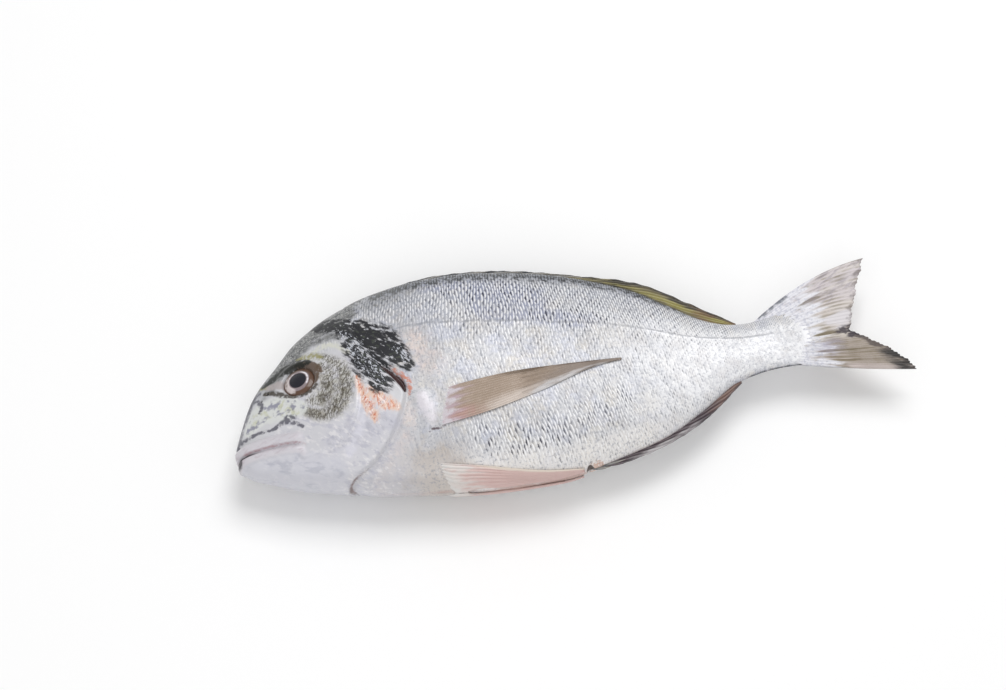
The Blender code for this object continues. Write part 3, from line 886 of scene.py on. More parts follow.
# Fresh eye: a black lens behind a clear glossy cornea, in a silver iris with a dusky rim. A painted
# highlight brightens the silver ring on the tail side, and painted shade darkens the iris under the
# brow.
EYE = Finish(
    name="fresh_fish_eye",
    ground="#5d4334",
    tints=(
        Tint("iris", "#8d8084", 0.95, 2.2, 0.6, (0.1, 0.85)),
        Tint("white", "#d3c9c8", 0.92, 1.5, 0.5, (0.1, 0.9)),
        # Brown outer iris, darkened towards the top with painted shade under the brow.
        Tint("iris_brown_and_painted_brow_shade", "#66534a", 0.8, 2, 0.8, (0.2, 1)),
        # The silver ring round the pupil, brightened with a painted highlight mostly on the tail
        # side.
        Tint("iris_painted_glint", "#e9e5ea", 0.9, 1.5, 0.5, (0.2, 0.9)),
        Tint("pupil", "#11101d", 1, 2, 0, (0.2, 0.8)),
    ),
    reliefs=(Relief("noise", 0.03, 1, 0.3),),
    roughness=0.3,
    roughness_spread=0.05,
    ior=1.34,
    coat=0.5,
    coat_roughness=0.04,
)
# Matt white studio board: it gives an even pale ground and a soft shadow.
STUDIO_BOARD = Finish(
    name="matt_studio_board",
    ground="#fafafa",
    reliefs=(Relief("noise", 0.02, 3, 0.2),),
    roughness=0.8,
    coat=0,
)


def make_mesh(name: str, points: np.ndarray, faces: Sequence[Sequence[int]],
              masks: dict[str, np.ndarray], finish: Finish) -> bpy.types.Object:
    """Makes a smooth-shaded mesh object that rides on the fish's body.

    Args:
        name: the piece's name.
        points: vertex places in metres.
        faces: vertex numbers of each face.
        masks: values for each vertex that the finish reads.
        finish: the finish.

    Returns:
        The object.
    """
    mesh = bpy.data.meshes.new(name)
    mesh.from_pydata(points.reshape(-1, 3).tolist(), [], faces)
    for key, values in masks.items():
        layer = mesh.attributes.new(key, "FLOAT", "POINT")
        layer.data.foreach_set("value", np.ascontiguousarray(values, np.float32).reshape(-1))
    mesh.polygons.foreach_set("use_smooth", np.ones(len(mesh.polygons), bool))
    mesh.materials.append(finish.material())
    mesh.validate()
    piece = bpy.data.objects.new(name, mesh)
    bpy.context.scene.collection.objects.link(piece)
    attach(piece, "root")
    LOG.info("%s: %d faces", name, len(mesh.polygons))
    return piece


def sheet_normals(points: np.ndarray) -> np.ndarray:
    """Unit normals of a grid of points.

    Args:
        points: an array of rows, columns and (s, h, z).

    Returns:
        The normals, in an array of the same shape.
    """
    normals = np.cross(np.gradient(points, axis=0), np.gradient(points, axis=1))
    length = np.linalg.norm(normals, axis=2, keepdims=True)
    return normals / np.maximum(length, 1e-9)


def tube(rings: int, sides: int) -> tuple[np.ndarray, np.ndarray, np.ndarray]:
    """Numbers the points of a tube and its quads.

    Args:
        rings: how many rings of points lie along it.
        sides: how many points lie round each.

    Returns:
        The points' numbers, those of the points beside them on the ring, and the quads.
    """
    index = np.arange(rings * sides).reshape(rings, sides)
    after = np.roll(index, -1, axis=1)
    quads = np.stack([index[:-1], after[:-1], after[1:], index[1:]], axis=-1).reshape(-1, 4)
    return index, after, quads


def make_sheet(name: str, form: FishForm, points: np.ndarray, half: np.ndarray,
               masks: dict[str, np.ndarray], finish: Finish) -> bpy.types.Object:
    """Makes a fin, a closed thin solid round a grid of points.

    Args:
        name: the piece's name.
        form: the fish's form.
        points: the middle surface, an array of rows, columns and (s, h, z).
        half: half of the thickness at each point.
        masks: values for each point that the finish reads.
        finish: the finish.

    Returns:
        The fin.
    """
    offset = sheet_normals(points) * half[..., None]
    both = np.concatenate([(points + offset).reshape(-1, 3), (points - offset).reshape(-1, 3)])
    count = half.size
    index = np.arange(count).reshape(half.shape)
    corners = [index[:-1, :-1], index[1:, :-1], index[1:, 1:], index[:-1, 1:]]
    front = np.stack(corners, axis=-1).reshape(-1, 4)
    ring = np.array([*index[:, 0], *index[-1, 1:], *index[-2::-1, -1], *index[0, -2:0:-1]])
    after = np.roll(ring, -1)
    rim = np.stack([after, ring, ring + count, after + count], axis=-1)
    faces = np.concatenate([front, front[:, [0, 3, 2, 1]] + count, rim]).tolist()
    return make_mesh(name, form.place(both), faces, {
        key: np.tile(value.reshape(-1), 2) for key, value in masks.items()
    }, finish)


def sheet_shares(across: int, along: int) -> list[np.ndarray]:
    """Lays out an even grid over a fin.

    Args:
        across: steps across the rays.
        along: steps along them.

    Returns:
        Each point's share of the way across and along.
    """
    return np.meshgrid(np.linspace(0, 1, across + 1), np.linspace(0, 1, along + 1), indexing="ij")


# Where the skin's pigments lie in patches, and the painted shade in the gill slit: the share of a
# patch's strokes that is fully covered, then each stroke's (s, h, radius) knots in millimetres.
# Every patch is an oval or a band of a few knots, laid out one by one.
PATCHES: dict[str, tuple[Any, ...]] = {
    "spots": (0, ((104, 59, 8), (118, 51.5, 11), (128, 45, 10)), ((129, 57, 8), (138, 49, 11),
        (143, 40, 9)), ((144, 33, 8), (162, 27, 10), (176, 24, 6)), ((111, -27, 6),
        (122, -28.5, 7), (136, -28.5, 8), (142, -34, 7))),
    "lower": (0, ((106, -20, 9), (128, -27, 13), (150, -26, 12), (172, -18, 12))),
    "warm": (0, ((88, 30, 13), (93, 16, 13)), ((79, -2, 5), (76, -12, 7), (67, -23, 7),
        (59, -30, 5)), ((60, 14, 4), (60, 6, 4))),
    "violet": (0, ((100, 62, 10), (122, 51, 17), (146, 40, 16)), ((118, 38, 9), (150, 29, 9),
        (168, 24, 8))),
    "nape_side": (0, ((45, 43.5, 5), (54, 44, 6.5), (61, 41, 5))),
    "cheek": (0, ((35, 8.5, 5.5), (43, 4, 7.5), (51, 8, 9.5), (55, 18, 8.5), (52, 27, 7.5),
        (47.5, 33, 4)), ((38, 12, 6), (44, 13, 10), (48, 20, 10), (46, 28, 7))),
    "cheek_low": (0, ((34, 8, 3.5), (42, 4, 6), (49, 6.5, 8), (53, 12, 7), (54.5, 19, 4.5)),
        ((44.5, 22, 4), (46, 15, 7), (43, 10, 5))),
    "preopercle": (0, ((60.5, 12, 2.4), (59, 2, 3.2), (56, -8, 4.2), (50, -15, 5))),
    "suborbital": (0.3, ((9, 8.5, 4), (16, 14.5, 8.5), (25, 13, 8.5), (32, 10.5, 5.5))),
    "snout": (0.1, ((1.5, 2.5, 1.6), (2.7, 5.2, 2.4), (6.2, 5, 1.8), (13.1, 5.3, 1.6),
        (19.6, 5, 1.7), (24.5, 6.4, 2.3), (28.7, 4.6, 2), (32.1, 1.6, 1.5)), ((2.6, 6, 3),
        (5, 12, 3.2), (8, 17.6, 3.4), (11.2, 23.4, 3.6), (15.8, 27.2, 2.6)), ((14.5, 23, 2),
        (16, 19, 2.2), (15, 15.5, 1.8)), ((26, 8, 2.2), (29.5, 7, 2))),
    "crescent": (0.1, ((44.5, 38, 2.6), (49, 39, 3.2), (54.5, 37, 3.4), (58.6, 31.5, 2.8))),
    "gold": (0.1, ((36.5, 37, 2.4), (41.5, 36, 3.8), (46, 33.4, 3.2)), ((17.3, 29.8, 2),
        (20.4, 28.6, 2))),
    "brow": (0.1, ((18.5, 30.2, 1.8), (24, 32.3, 3.3), (29.6, 34, 4.4), (35.5, 34.2, 3.9),
        (40.5, 32.4, 2.4))),
    "lid": (0.1, ((18.5, 25.2, 1.6), (22.4, 23.2, 2.2), (26.6, 19.8, 2.2), (31.2, 17.2, 2.1),
        (37, 16.6, 2), (42, 19, 1.8))),
    "blush": (0, ((60.2, 17, 2.8), (60.8, 9, 4), (62.6, 1, 5.5), (64, -5, 3.5)), ((65, 9, 5),
        (69, 2, 7), (73.5, -1, 5))),
    "blotch": (0, ((47, 55, 5), (57, 48.5, 8.5), (65, 41, 12.5), (72.5, 33, 14),
        (78.5, 25.5, 10.2), (83.4, 17.2, 4.6)), ((62, 38, 9), (65, 28, 11.5), (68.5, 18.5, 11.5),
        (70, 11, 8.5))),
    "fleck": (0.3, ((58, 43, 4), (62, 34, 7), (65, 24, 8.5), (69, 13, 7)), ((80, 27, 4.5),
        (83.5, 20, 3.6))),
    "eye_corner": (0.2, ((20.6, 28, 2.6), (25.5, 26.4, 3.8), (28.5, 25, 3.8))),
    "jaw": (0.2, ((4, -8, 4), (13, -11, 8), (26, -15, 11), (42, -20, 9))),
    "opercle": (0, ((46, -10, 12), (58, -8, 13), (69, -7, 9))),
    "slit_rim": (0.1, ((75, 18.5, 1.2), (79, 13.5, 2.4), (81.6, 8, 2.4), (80.5, 3, 1.2))),
    # The gill slit: dark red of the gills, darkened with painted shade deep in the opening.
    "slit": (0.2, ((71.6, 19.6, 0.9), (75.4, 14.2, 1.9), (78.3, 8.8, 2.1), (78.9, 5.2, 0.9))),
    "pectoral_root": (0, ((85.5, 0, 5.5), (87, -6, 7), (87.5, -11, 4.5))),
    "root_line": (0.1, ((85.5, -15.2, 0.7), (88.5, -14.9, 1.1), (93, -14.6, 0.8))),
}


@dataclass
class Skin:
    """The body's skin with its scales, gill covers, lips and eye sockets, in one closed mesh."""

    form: FishForm
    scales: ScalePattern = field(default_factory=ScalePattern)
    left_rows: int = 114
    right_rows: int = 52
    spacing: Knots = ((0, 0.03), (1, 0.08), (4, 0.2), (10, 0.42), (85, 0.46),
                      (110, 0.56), (268, 0.56))
    scale_height: float = 0.13
    gill_lift: float = 1.25
    gill_rise: tuple[float, float] = (18, 54)
    gill_edge: Stroke = Stroke(
        (38, -44, 1), (44.4, -28, 1), (55, -23.4, 1), (65.5, -17, 1),
        (73.2, -7.2, 1), (78.2, 2, 1), (78.6, 8, 1), (76.1, 13.6, 1),
        (72.4, 18.4, 1), (68.5, 24.5, 1), (65, 33, 1), (62, 44, 1),
        (60, 62, 1),
    )
    cheek_edge: Stroke = Stroke(
        (30, -12, 1), (42, -11, 1), (53, -5, 1), (58.5, 6, 1),
        (59.5, 18, 1), (56, 30, 1),
    )
    mouth_line: Stroke = Stroke(
        (-2, -3.6, 1), (1.4, -3.6, 1), (3.5, -2.8, 1), (12.5, -3, 1),
        (21, -4, 1), (29, -5.6, 1), (32, -8, 1),
    )
    lateral_line: Stroke = Stroke(
        (75, 36.8, 1), (83.7, 37.6, 1), (91.4, 37, 1), (102.7, 35.6, 1),
        (119.3, 32.2, 1), (137, 28.7, 1), (154.7, 25.1, 1), (172.5, 21.3, 1),
        (190.4, 16.6, 1), (203.9, 11.6, 1), (216.3, 7.6, 1), (230.8, 4.8, 1),
        (244, 3.8, 1), (266, 3.6, 1),
    )
    eye_place: tuple[float, float] = (34.4, 24.8)
    socket_radius: float = 7
    nostrils: tuple[tuple[float, float], ...] = ((19.6, 24.6), (16.2, 22))
    snout_tip: tuple[float, float, float] = (-0.05, -0.2, 0)
    deepest: float = 110
    middle_height: float = 13
    tail_closing: tuple[float, float] = (268.5, 252)
    # Heights and depths of the relief, in millimetres.
    gill_groove: tuple[float, float] = (0.5, 0.6)
    slit_depth: float = 2.2
    cheek_swell: float = 0.4
    cheek_groove: float = 0.35
    upper_lip: float = 1.3
    lower_lip: float = 1.1
    mouth_depth: float = 1.3
    lip_fold: float = 0.7
    lateral_height: float = 0.22
    socket_rim: float = 0.7
    socket_depth: float = 3.6
    nostril_depth: float = 1.1
    root_swell: float = 1
    vent_depth: float = 1.6
    back_groove: float = 0.9
    suborbital_swell: float = 0.35
    wave_height: float = 0.16

    def build(self) -> bpy.types.Object:
        """Lays out the skin, raises its relief and paints its masks.

        Returns:
            The skin.
        """
        stations = self._stations()
        angles, share = self._angles()
        s, angle = np.meshgrid(stations, angles, indexing="ij")
        share = np.broadcast_to(share, s.shape)
        h, z = self.form.section(s, angle)
        z = z * np.sqrt(smooth(s, *self.tail_closing))
        points = np.stack([s, h, z], axis=2)
        wrapped = np.concatenate([points[:, -1:], points, points[:, :1]], axis=1)
        normals = sheet_normals(wrapped)[:, 1:-1]
        from_middle = points - [0, self.middle_height, 0]
        outward = (normals * from_middle).sum(axis=2)[len(stations) // 2, 0]
        normals = normals * (-1 if outward < 0 else 1)

        masks = self._masks(s, h, share)
        points = points + normals * self._relief(s, h, angle, masks)[..., None]
        placed = self.form.place(points)
        tip = self.form.place(np.array([self.snout_tip]))
        vertices = np.concatenate([placed.reshape(-1, 3), tip])
        skin = make_mesh(NODE + "_skin", vertices, self._faces(*s.shape), {
            key: np.append(value.reshape(-1), value[0].mean()) for key, value in masks.items()
        }, SKIN)
        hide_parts(NODE)
        return skin

    def _stations(self) -> np.ndarray:
        """Lays out stations along the fish, closer together at the snout.

        Returns:
            The stations.
        """
        found = [0.02]
        while found[-1] < self.form.length - 0.3:
            step = np.interp(found[-1], [k[0] for k in self.spacing], [k[1] for k in self.spacing])
            found.append(found[-1] + float(step))
        found[-1] = self.form.length
        return np.array(found)

    def _angles(self) -> tuple[np.ndarray, np.ndarray]:
        """Angles round the body that are evenly spaced along its girth.

        Returns:
            The angles, down the left flank and up the right one, and their share of the way from
            the back to the belly.
        """
        fine = np.linspace(0, math.pi, GIRTH_STEPS)
        h, z = self.form.section(np.full(fine.shape, self.deepest), fine)
        girth = np.concatenate([[0], np.cumsum(np.hypot(np.diff(h), np.diff(z)))])
        girth /= girth[-1]
        left = np.linspace(0, 1, self.left_rows + 1)
        right = np.linspace(1, 0, self.right_rows + 1)[1:-1]
        angles = np.concatenate([np.interp(left, girth, fine), -np.interp(right, girth, fine)])
        return angles, np.concatenate([left, right])

    def _faces(self, columns: int, rows: int) -> list[list[int]]:
        """Quads round the body, a fan at the snout and one at the tail.

        Args:
            columns: how many stations there are.
            rows: how many points lie round each.

        Returns:
            The faces, all turned outwards.
        """
        index, after, quads = tube(columns, rows)
        fan = [[index.size, a, b] for a, b in zip(after[0].tolist(), index[0].tolist())]
        return quads.tolist() + fan + [index[-1].tolist()]

    def _relief(self, s: np.ndarray, h: np.ndarray, angle: np.ndarray,
                masks: dict[str, np.ndarray]) -> np.ndarray:
        """How far the skin stands out from the plain body, in millimetres.

        Args:
            s: stations along the fish.
            h: heights on the flank.
            angle: angles round the body.
            masks: the skin's masks.

        Returns:
            The relief at each point.
        """
        gap, sign, _ = self.gill_edge.offset(s, h)
        ahead = gap * sign
        sides = smooth(np.abs(angle), math.radians(30), math.radians(60))
        lift = self.gill_lift * smooth(s, *self.gill_rise) * sides
        relief = lift * smooth(ahead, -1.2, 0.8)
        relief += 0.05 * lift * bump(ahead, 1.6, 2.4)
        shallow, more = self.gill_groove
        groove = (shallow + more * sides) * smooth(s, 38, 48) * (0.4 + 0.6 * smooth(h, -6, -20))
        relief -= groove * bump(ahead, -1, 1.6)
        relief -= self.slit_depth * masks["slit"]

        gap, sign, _ = self.cheek_edge.offset(s, h)
        relief += self.cheek_swell * bump(gap * sign, 0.9, 2.2)
        relief -= self.cheek_groove * bump(gap * sign, -1, 1.6)

        gap, sign, _ = self.mouth_line.offset(s, h)
        over = gap * sign
        lips = smooth(s, 33, 26)
        relief += lips * (self.upper_lip * bump(over, 2.7, 3.1)
                          + self.lower_lip * bump(over, -2.3, 2.7))
        relief -= lips * self.mouth_depth * bump(over, 0, 1)
        relief -= lips * self.lip_fold * bump(over, 6, 1.3)

        gap, _, _ = self.lateral_line.offset(s, h)
        relief += self.lateral_height * bump(gap, 0, 1.1) * smooth(s, 76, 84)

        reach = np.hypot((s - self.eye_place[0]), (h - self.eye_place[1]))
        relief += self.socket_rim * bump(reach, self.socket_radius + 2.4, 2.6)
        relief -= self.socket_depth * smooth(reach, self.socket_radius + 0.9,
                                             self.socket_radius - 0.9)
        relief -= self.nostril_depth * masks["nostril"]
        relief += self.root_swell * masks["pectoral_root"]
        relief -= self.vent_depth * masks["vent"]
        relief -= self.back_groove * bump(angle, 0, math.radians(5)) * smooth(s, 84, 92)
        relief += self.suborbital_swell * masks["suborbital"]

        waves = np.sin(s * 0.19 + 1.3 * np.sin(h * 0.11)) * np.sin(h * 0.17 + s * 0.05)
        relief += self.wave_height * waves * smooth(s, 6, 20)
        pattern = self.scales.height(masks["scale_u"], masks["scale_v"])
        relief += self.scale_height * (pattern - 0.5) * masks["scaled"]
        return relief * smooth(s, 0, 1.5) * smooth(s, 268, 258)

    def _masks(self, s: np.ndarray, h: np.ndarray, share: np.ndarray) -> dict[str, np.ndarray]:
        """Where each pigment, and each painted shade, lies. The numbers are places on the fish,
        laid out one by one.

        Args:
            s: stations along the fish.
            h: heights on the flank.
            share: share of the way down from the back to the belly.

        Returns:
            The masks by name.
        """
        patch = {
            name: np.max([Stroke(*knots).mask(s, h, core) for knots in strokes], axis=0)
            for name, (core, *strokes) in PATCHES.items()
        }
        lower, nape_side = patch.pop("lower"), patch.pop("nape_side")
        top = self.form.back(s) - h
        gap, sign, _ = self.gill_edge.offset(s, h)
        ahead = gap * sign
        behind_gill = smooth(ahead, 0, -1.5)
        gap, sign, _ = self.mouth_line.offset(s, h)
        over = gap * sign
        lips = smooth(s, 34, 29)
        lateral, _, _ = self.lateral_line.offset(s, h)
        eye = np.hypot((s - self.eye_place[0] + 1.5) / 1.3, h - self.eye_place[1] - 0.6)
        eye = np.where(h > self.eye_place[1], eye, eye * 1.12)
        keel = (1 - share) * HALF_GIRTH
        head = smooth(s, 88, 60)
        nape = smooth(top, 17, 10) * smooth(s, 10, 26) * smooth(s, 74, 62)
        on_nape = smooth(top, 30, 22) * smooth(s, 36, 50)
        scaled = np.maximum.reduce([behind_gill, smooth(s, 88, 92), 0.6 * on_nape])
        scaled = scaled * smooth(s, 268, 262)
        return patch | {
            "scale_u": self.scales.columns(s) - 0.0016 * (h - 10) ** 2
            + 0.35 * np.sin(0.11 * h + 0.05 * s) + 0.25 * np.sin(0.31 * s + 0.2 * h)
            + 0.2 * np.sin(0.47 * s - 0.36 * h),
            "scale_v": self.scales.rows * share + 0.12 * np.sin(0.13 * s + 0.21 * h)
            + 0.08 * np.sin(0.39 * s - 0.17 * h),
            "scaled": scaled,
            "upper": smooth(share, 0.48, 0.12) * (1 - 0.6 * head) * smooth(s, 262, 180),
            "ridge": np.maximum(
                smooth(share, 0.2, 0.05) * smooth(s, 56, 84) * smooth(s, 236, 200),
                0.8 * smooth(share, 0.93, 0.99) * smooth(s, 226, 240)),
            "pale": smooth(s, 135, 235) * smooth(share, 0.1, 0.42)
            * smooth(share, 1.02, 0.8),
            "belly": smooth(share, 0.78, 0.93) * smooth(s, 236, 160) * (1 - head),
            "throat": smooth(h, -14, -30) * smooth(s, 52, 66) * smooth(s, 110, 88)
            * behind_gill,
            # Painted shade along the keel between the pelvic fins and under the throat.
            "keel": np.maximum(
                smooth(share, 0.925, 0.985) * smooth(s, 84, 120) * smooth(s, 154, 144),
                0.6 * smooth(share, 0.965, 1) * smooth(s, 46, 66)),
            "marked": np.clip(0.42 + 0.45 * smooth(share, 0.5, 0.2) + 0.35 * lower, 0, 1)
            * (0.5 + 0.5 * smooth(s, 262, 200))
            * (1 - 0.5 * smooth(share, 0.76, 0.95) * smooth(s, 170, 110))
            * (1 - 0.45 * smooth(s, 104, 84) * smooth(share, 0.2, 0.35))
            * (1 - 0.35 * smooth(s, 116, 90)),
            "head": head * smooth(top, 20, 34),
            "nape": np.maximum.reduce([
                nape, 0.8 * nape_side,
                0.9 * smooth(top, 6, 1.5) * smooth(s, 4, 12) * smooth(s, 110, 70),
                0.5 * smooth(top, 24, 10) * smooth(s, 60, 74) * smooth(s, 112, 80)]),
            "orbit": smooth(eye, 11.2, 8.6) * smooth(s, 30, 38),
            "lip": lips * smooth(over, 6.6, 4.8) * smooth(over, -4.6, -2.6),
            "lip_line": lips * bump(over, 0.7, 0.7) * smooth(s, 2, 6),
            # Painted shade in the gap between the lips and at the front of the mouth.
            "mouth_gap_shade": lips * bump(over, -0.2, 0.9) * (0.3 + 0.7 * smooth(s, 14, 3))
            + 0.9 * bump(np.hypot(s - 2.4, (h + 4.8) / 1.6), 0, 2),
            "lateral": bump(lateral, 0, 0.8) * smooth(s, 78, 84) * smooth(s, 262, 240),
            # Painted shade under the rear edge of the gill cover, strongest low down.
            "gill_edge_painted_shade": bump(ahead, -0.6, 1) * np.maximum(
                smooth(s, 62, 48), 0.28 * smooth(h, 10, 4)),
            # Painted shade in the nostril pits, which are carved too.
            "nostril": np.max([bump(np.hypot(s - a, h - b), 0, 1.1)
                               for a, b in self.nostrils], axis=0),
            "vent_rim": smooth(np.hypot((s - 154.8) / 6, keel / 10), 1, 0.4),
            # Painted shade in the vent's opening, which is carved too.
            "vent": smooth(np.hypot((s - 152.3 + 0.25 * (h + 42)) / 2.2, keel / 6.4), 1, 0.5),
        }


@dataclass
class CaudalFin:
    """The forked tail fin, a fan of branching rays with thin skin between them."""

    form: FishForm
    roots: tuple[tuple[float, float], ...] = ((244, 12.6), (250, 0), (256, -11.8))
    bows: tuple[tuple[float, float], ...] = ((276, 33), (270, 0.4), (285.2, -21.9))
    upper_trail: tuple[tuple[float, float], ...] = ((304.2, 34), (291.8, 13.2), (286.8, -0.6))
    lower_trail: tuple[tuple[float, float], ...] = ((286.8, -0.6), (302.5, -14.4), (310, -27.4))
    across_steps: int = 260
    along_steps: int = 90
    rays: int = 19
    branching: tuple[float, float] = (0.42, 0.62)
    ray_height: float = 0.18
    wave: float = 1.1
    root_half: float = 1.25
    edge_half: float = 0.22

    def _arc(self, first: np.ndarray, bow: np.ndarray, last: np.ndarray,
             share: np.ndarray) -> np.ndarray:
        """Points on the bent lines from first to last that lean towards bow."""
        t = share[..., None]
        return (1 - t) ** 2 * first + 2 * t * (1 - t) * bow + t ** 2 * last

    def build(self) -> bpy.types.Object:
        """Lays out the fan.

        Returns:
            The fin.
        """
        across, along = sheet_shares(self.across_steps, self.along_steps)
        half = np.mod(across * 2, 1)
        half = np.where(across >= 1, 1, half)
        upper = (across < 0.5)[..., None]
        t = half[..., None]
        roots, bows = np.array(self.roots), np.array(self.bows)
        root = np.where(upper, roots[0] + (roots[1] - roots[0]) * t,
                        roots[1] + (roots[2] - roots[1]) * t)
        bow = np.where(upper, bows[0] + (bows[1] - bows[0]) * t,
                       bows[1] + (bows[2] - bows[1]) * t)
        trail = np.where(upper, self._arc(*np.array(self.upper_trail), half),
                         self._arc(*np.array(self.lower_trail), half))
        phase = across * self.rays
        split = smooth(along, *self.branching)
        single = 0.5 + 0.5 * np.cos(2 * math.pi * phase)
        double = 0.5 + 0.5 * np.cos(4 * math.pi * phase)
        ray = (1 - split) * single ** 1.5 + split * double ** 1.5
        # The rear edge is frayed between the rays, and unevenly.
        notch = 0.008 * (1 - double) + 0.014 * np.sin(across * 61) * np.sin(across * 23)
        reach = along * (1 - notch * smooth(along, 0.7, 1))
        flat = self._arc(root, bow, trail, reach)
        lift = self.wave * along * np.sin(3 * math.pi * across)
        lift += self.ray_height * (ray - 0.5) * smooth(along, 0.1, 0.3)
        points = np.concatenate([flat, lift[..., None]], axis=2)
        thick = self.edge_half + (self.root_half - self.edge_half) * (1 - along) ** 2
        thick = thick * (0.75 + 0.35 * ray)
        masks = self._masks(across, along, flat, ray)
        return make_sheet("caudal_fin", self.form, points, thick, masks, CAUDAL_SKIN)

    def _masks(self, across: np.ndarray, along: np.ndarray, flat: np.ndarray,
               ray: np.ndarray) -> dict[str, np.ndarray]:
        """Where each pigment lies. The numbers are shares of the fan, laid out one by one.

        Args:
            across: each point's share of the way across the rays, from the upper lobe.
            along: its share of the way along them.
            flat: its (s, h) place in millimetres.
            ray: 1 on a ray's crest, 0 between two rays.

        Returns:
            The masks by name.
        """
        # Pale and dark rays come in uneven bands: waves over the fan, each with its number, its
        # start and its drift towards the tips.
        waves = ((3.1, 0.1, 0.3), (7.3, 0.6, -0.5), (12.7, 0.2, 0.4), (21.1, 0.8, 0.6))
        band = 0.5 + 0.28 * sum(np.sin(2 * math.pi * (rate * across + shift + drift * along))
                                for rate, shift, drift in waves)
        reached = flat[..., 0] - 7 * band - 1.5 * np.sin(57 * across)
        return {
            "ray": ray * smooth(along, 0.15, 0.35),
            "band": np.clip(band, 0, 1) * smooth(along, 0.3, 0.5),
            "streak": np.clip(1.4 * (0.45 - band), 0, 1) * smooth(along, 0.25, 0.45)
            * smooth(along, 1, 0.75),
            "root": smooth(reached, 278, 263),
            "root_dusk": smooth(np.hypot((flat[..., 0] - 274) / 18,
                                         (flat[..., 1] + 7.5) / 9), 1, 0),
            "fan": smooth(across, 0.4, 0.18),
            "upper_edge": smooth(across + 0.02 * np.sin(40 * along), 0.09, 0)
            * smooth(along, 0.42, 0.2),
            "lower": smooth(across, 0.5, 0.66),
            "edge": smooth(along + 0.03 * np.sin(83 * across), 0.9, 0.99)
            * (0.6 + 0.4 * smooth(across, 0.4, 0.52)),
            "under": smooth(across, 0.9, 0.99) * smooth(along, 0.35, 0.5),
            "fork": smooth(np.hypot((across - 0.53) / 0.13, (along - 0.94) / 0.26), 1, 0.2),
            "clear": smooth(np.hypot((across - 0.4) / 0.13, (along - 0.86) / 0.34), 1, 0.2),
            "lower_edge": smooth(along + 0.02 * np.sin(47 * across), 0.85, 0.96)
            * smooth(across, 0.5, 0.56) * smooth(across, 0.9, 0.76),
            "tip": smooth(across, 0.6, 0.93) * smooth(along, 0.7, 0.96),
        }


@dataclass
class FoldedFin:
    """A fin folded down along the back or the belly, with its rays lying backwards."""

    form: FishForm
    name: str
    finish: Finish
    edge: Spline
    heights: Knots
    up: int
    steps: int = 420
    rows: int = 32
    sink: float = 1.8
    ray_pitch: float = 9
    lean: float = 52
    pleat: float = 0.16
    half_thickness: float = 0.5
    front: float = 150

    def build(self) -> bpy.types.Object:
        """Lays out the pleated strip.

        Returns:
            The fin.
        """
        first, last = self.heights[0][0], self.heights[-1][0]
        s, along = np.meshgrid(np.linspace(first, last, self.steps + 1),
                               np.linspace(0, 1, self.rows + 1), indexing="ij")
        height = Spline(self.heights)(s)
        # The rays sway, so that no two gaps are alike, and the edge is frayed between them.
        sway = 2.2 * np.sin(0.093 * s) + 1.1 * np.sin(0.31 * s + 2 * along)
        phase = 2 * math.pi * (s + sway - self.lean * along) / self.ray_pitch
        ray = 0.5 + 0.5 * np.cos(phase)
        ragged = 1 - (0.03 * (1 - ray) + 0.03 * np.sin(0.43 * s) * np.sin(0.17 * s)) * along
        h = self.edge(s) + self.up * (-self.sink + (height * ragged + self.sink) * along)
        side = self.pleat * np.cos(phase) * smooth(along, 0.2, 0.6)
        points = np.stack([s, h, side], axis=2)
        ends = smooth(s, first, first + 6) * smooth(s, last, last - 4)
        thick = self.half_thickness * (1.5 - along) * (0.7 + 0.5 * ray) * (0.3 + 0.7 * ends)
        masks = {
            "ray": ray * smooth(along, 0.1, 0.4),
            "root": smooth(along + 0.06 * np.sin(0.17 * s), 0.6, 0.36) * smooth(s, 212, 186),
            "fold": smooth(along + 0.08 * np.sin(0.21 * s), 0.55, 0.85),
            "edge": smooth(along + 0.05 * np.sin(0.37 * s), 0.84, 0.98),
            "outer": smooth(along, 0.56, 0.7) * bump(s, 188, 26),
            "olive": smooth(along, 0.25, 0.4) * smooth(along, 0.8, 0.55)
            * smooth(s, 165, 205),
            "tip": smooth(s, last - 30, last - 6),
            "front": smooth(s, self.front + 12, self.front - 8),
        }
        return make_sheet(self.name, self.form, points, thick, masks, self.finish)


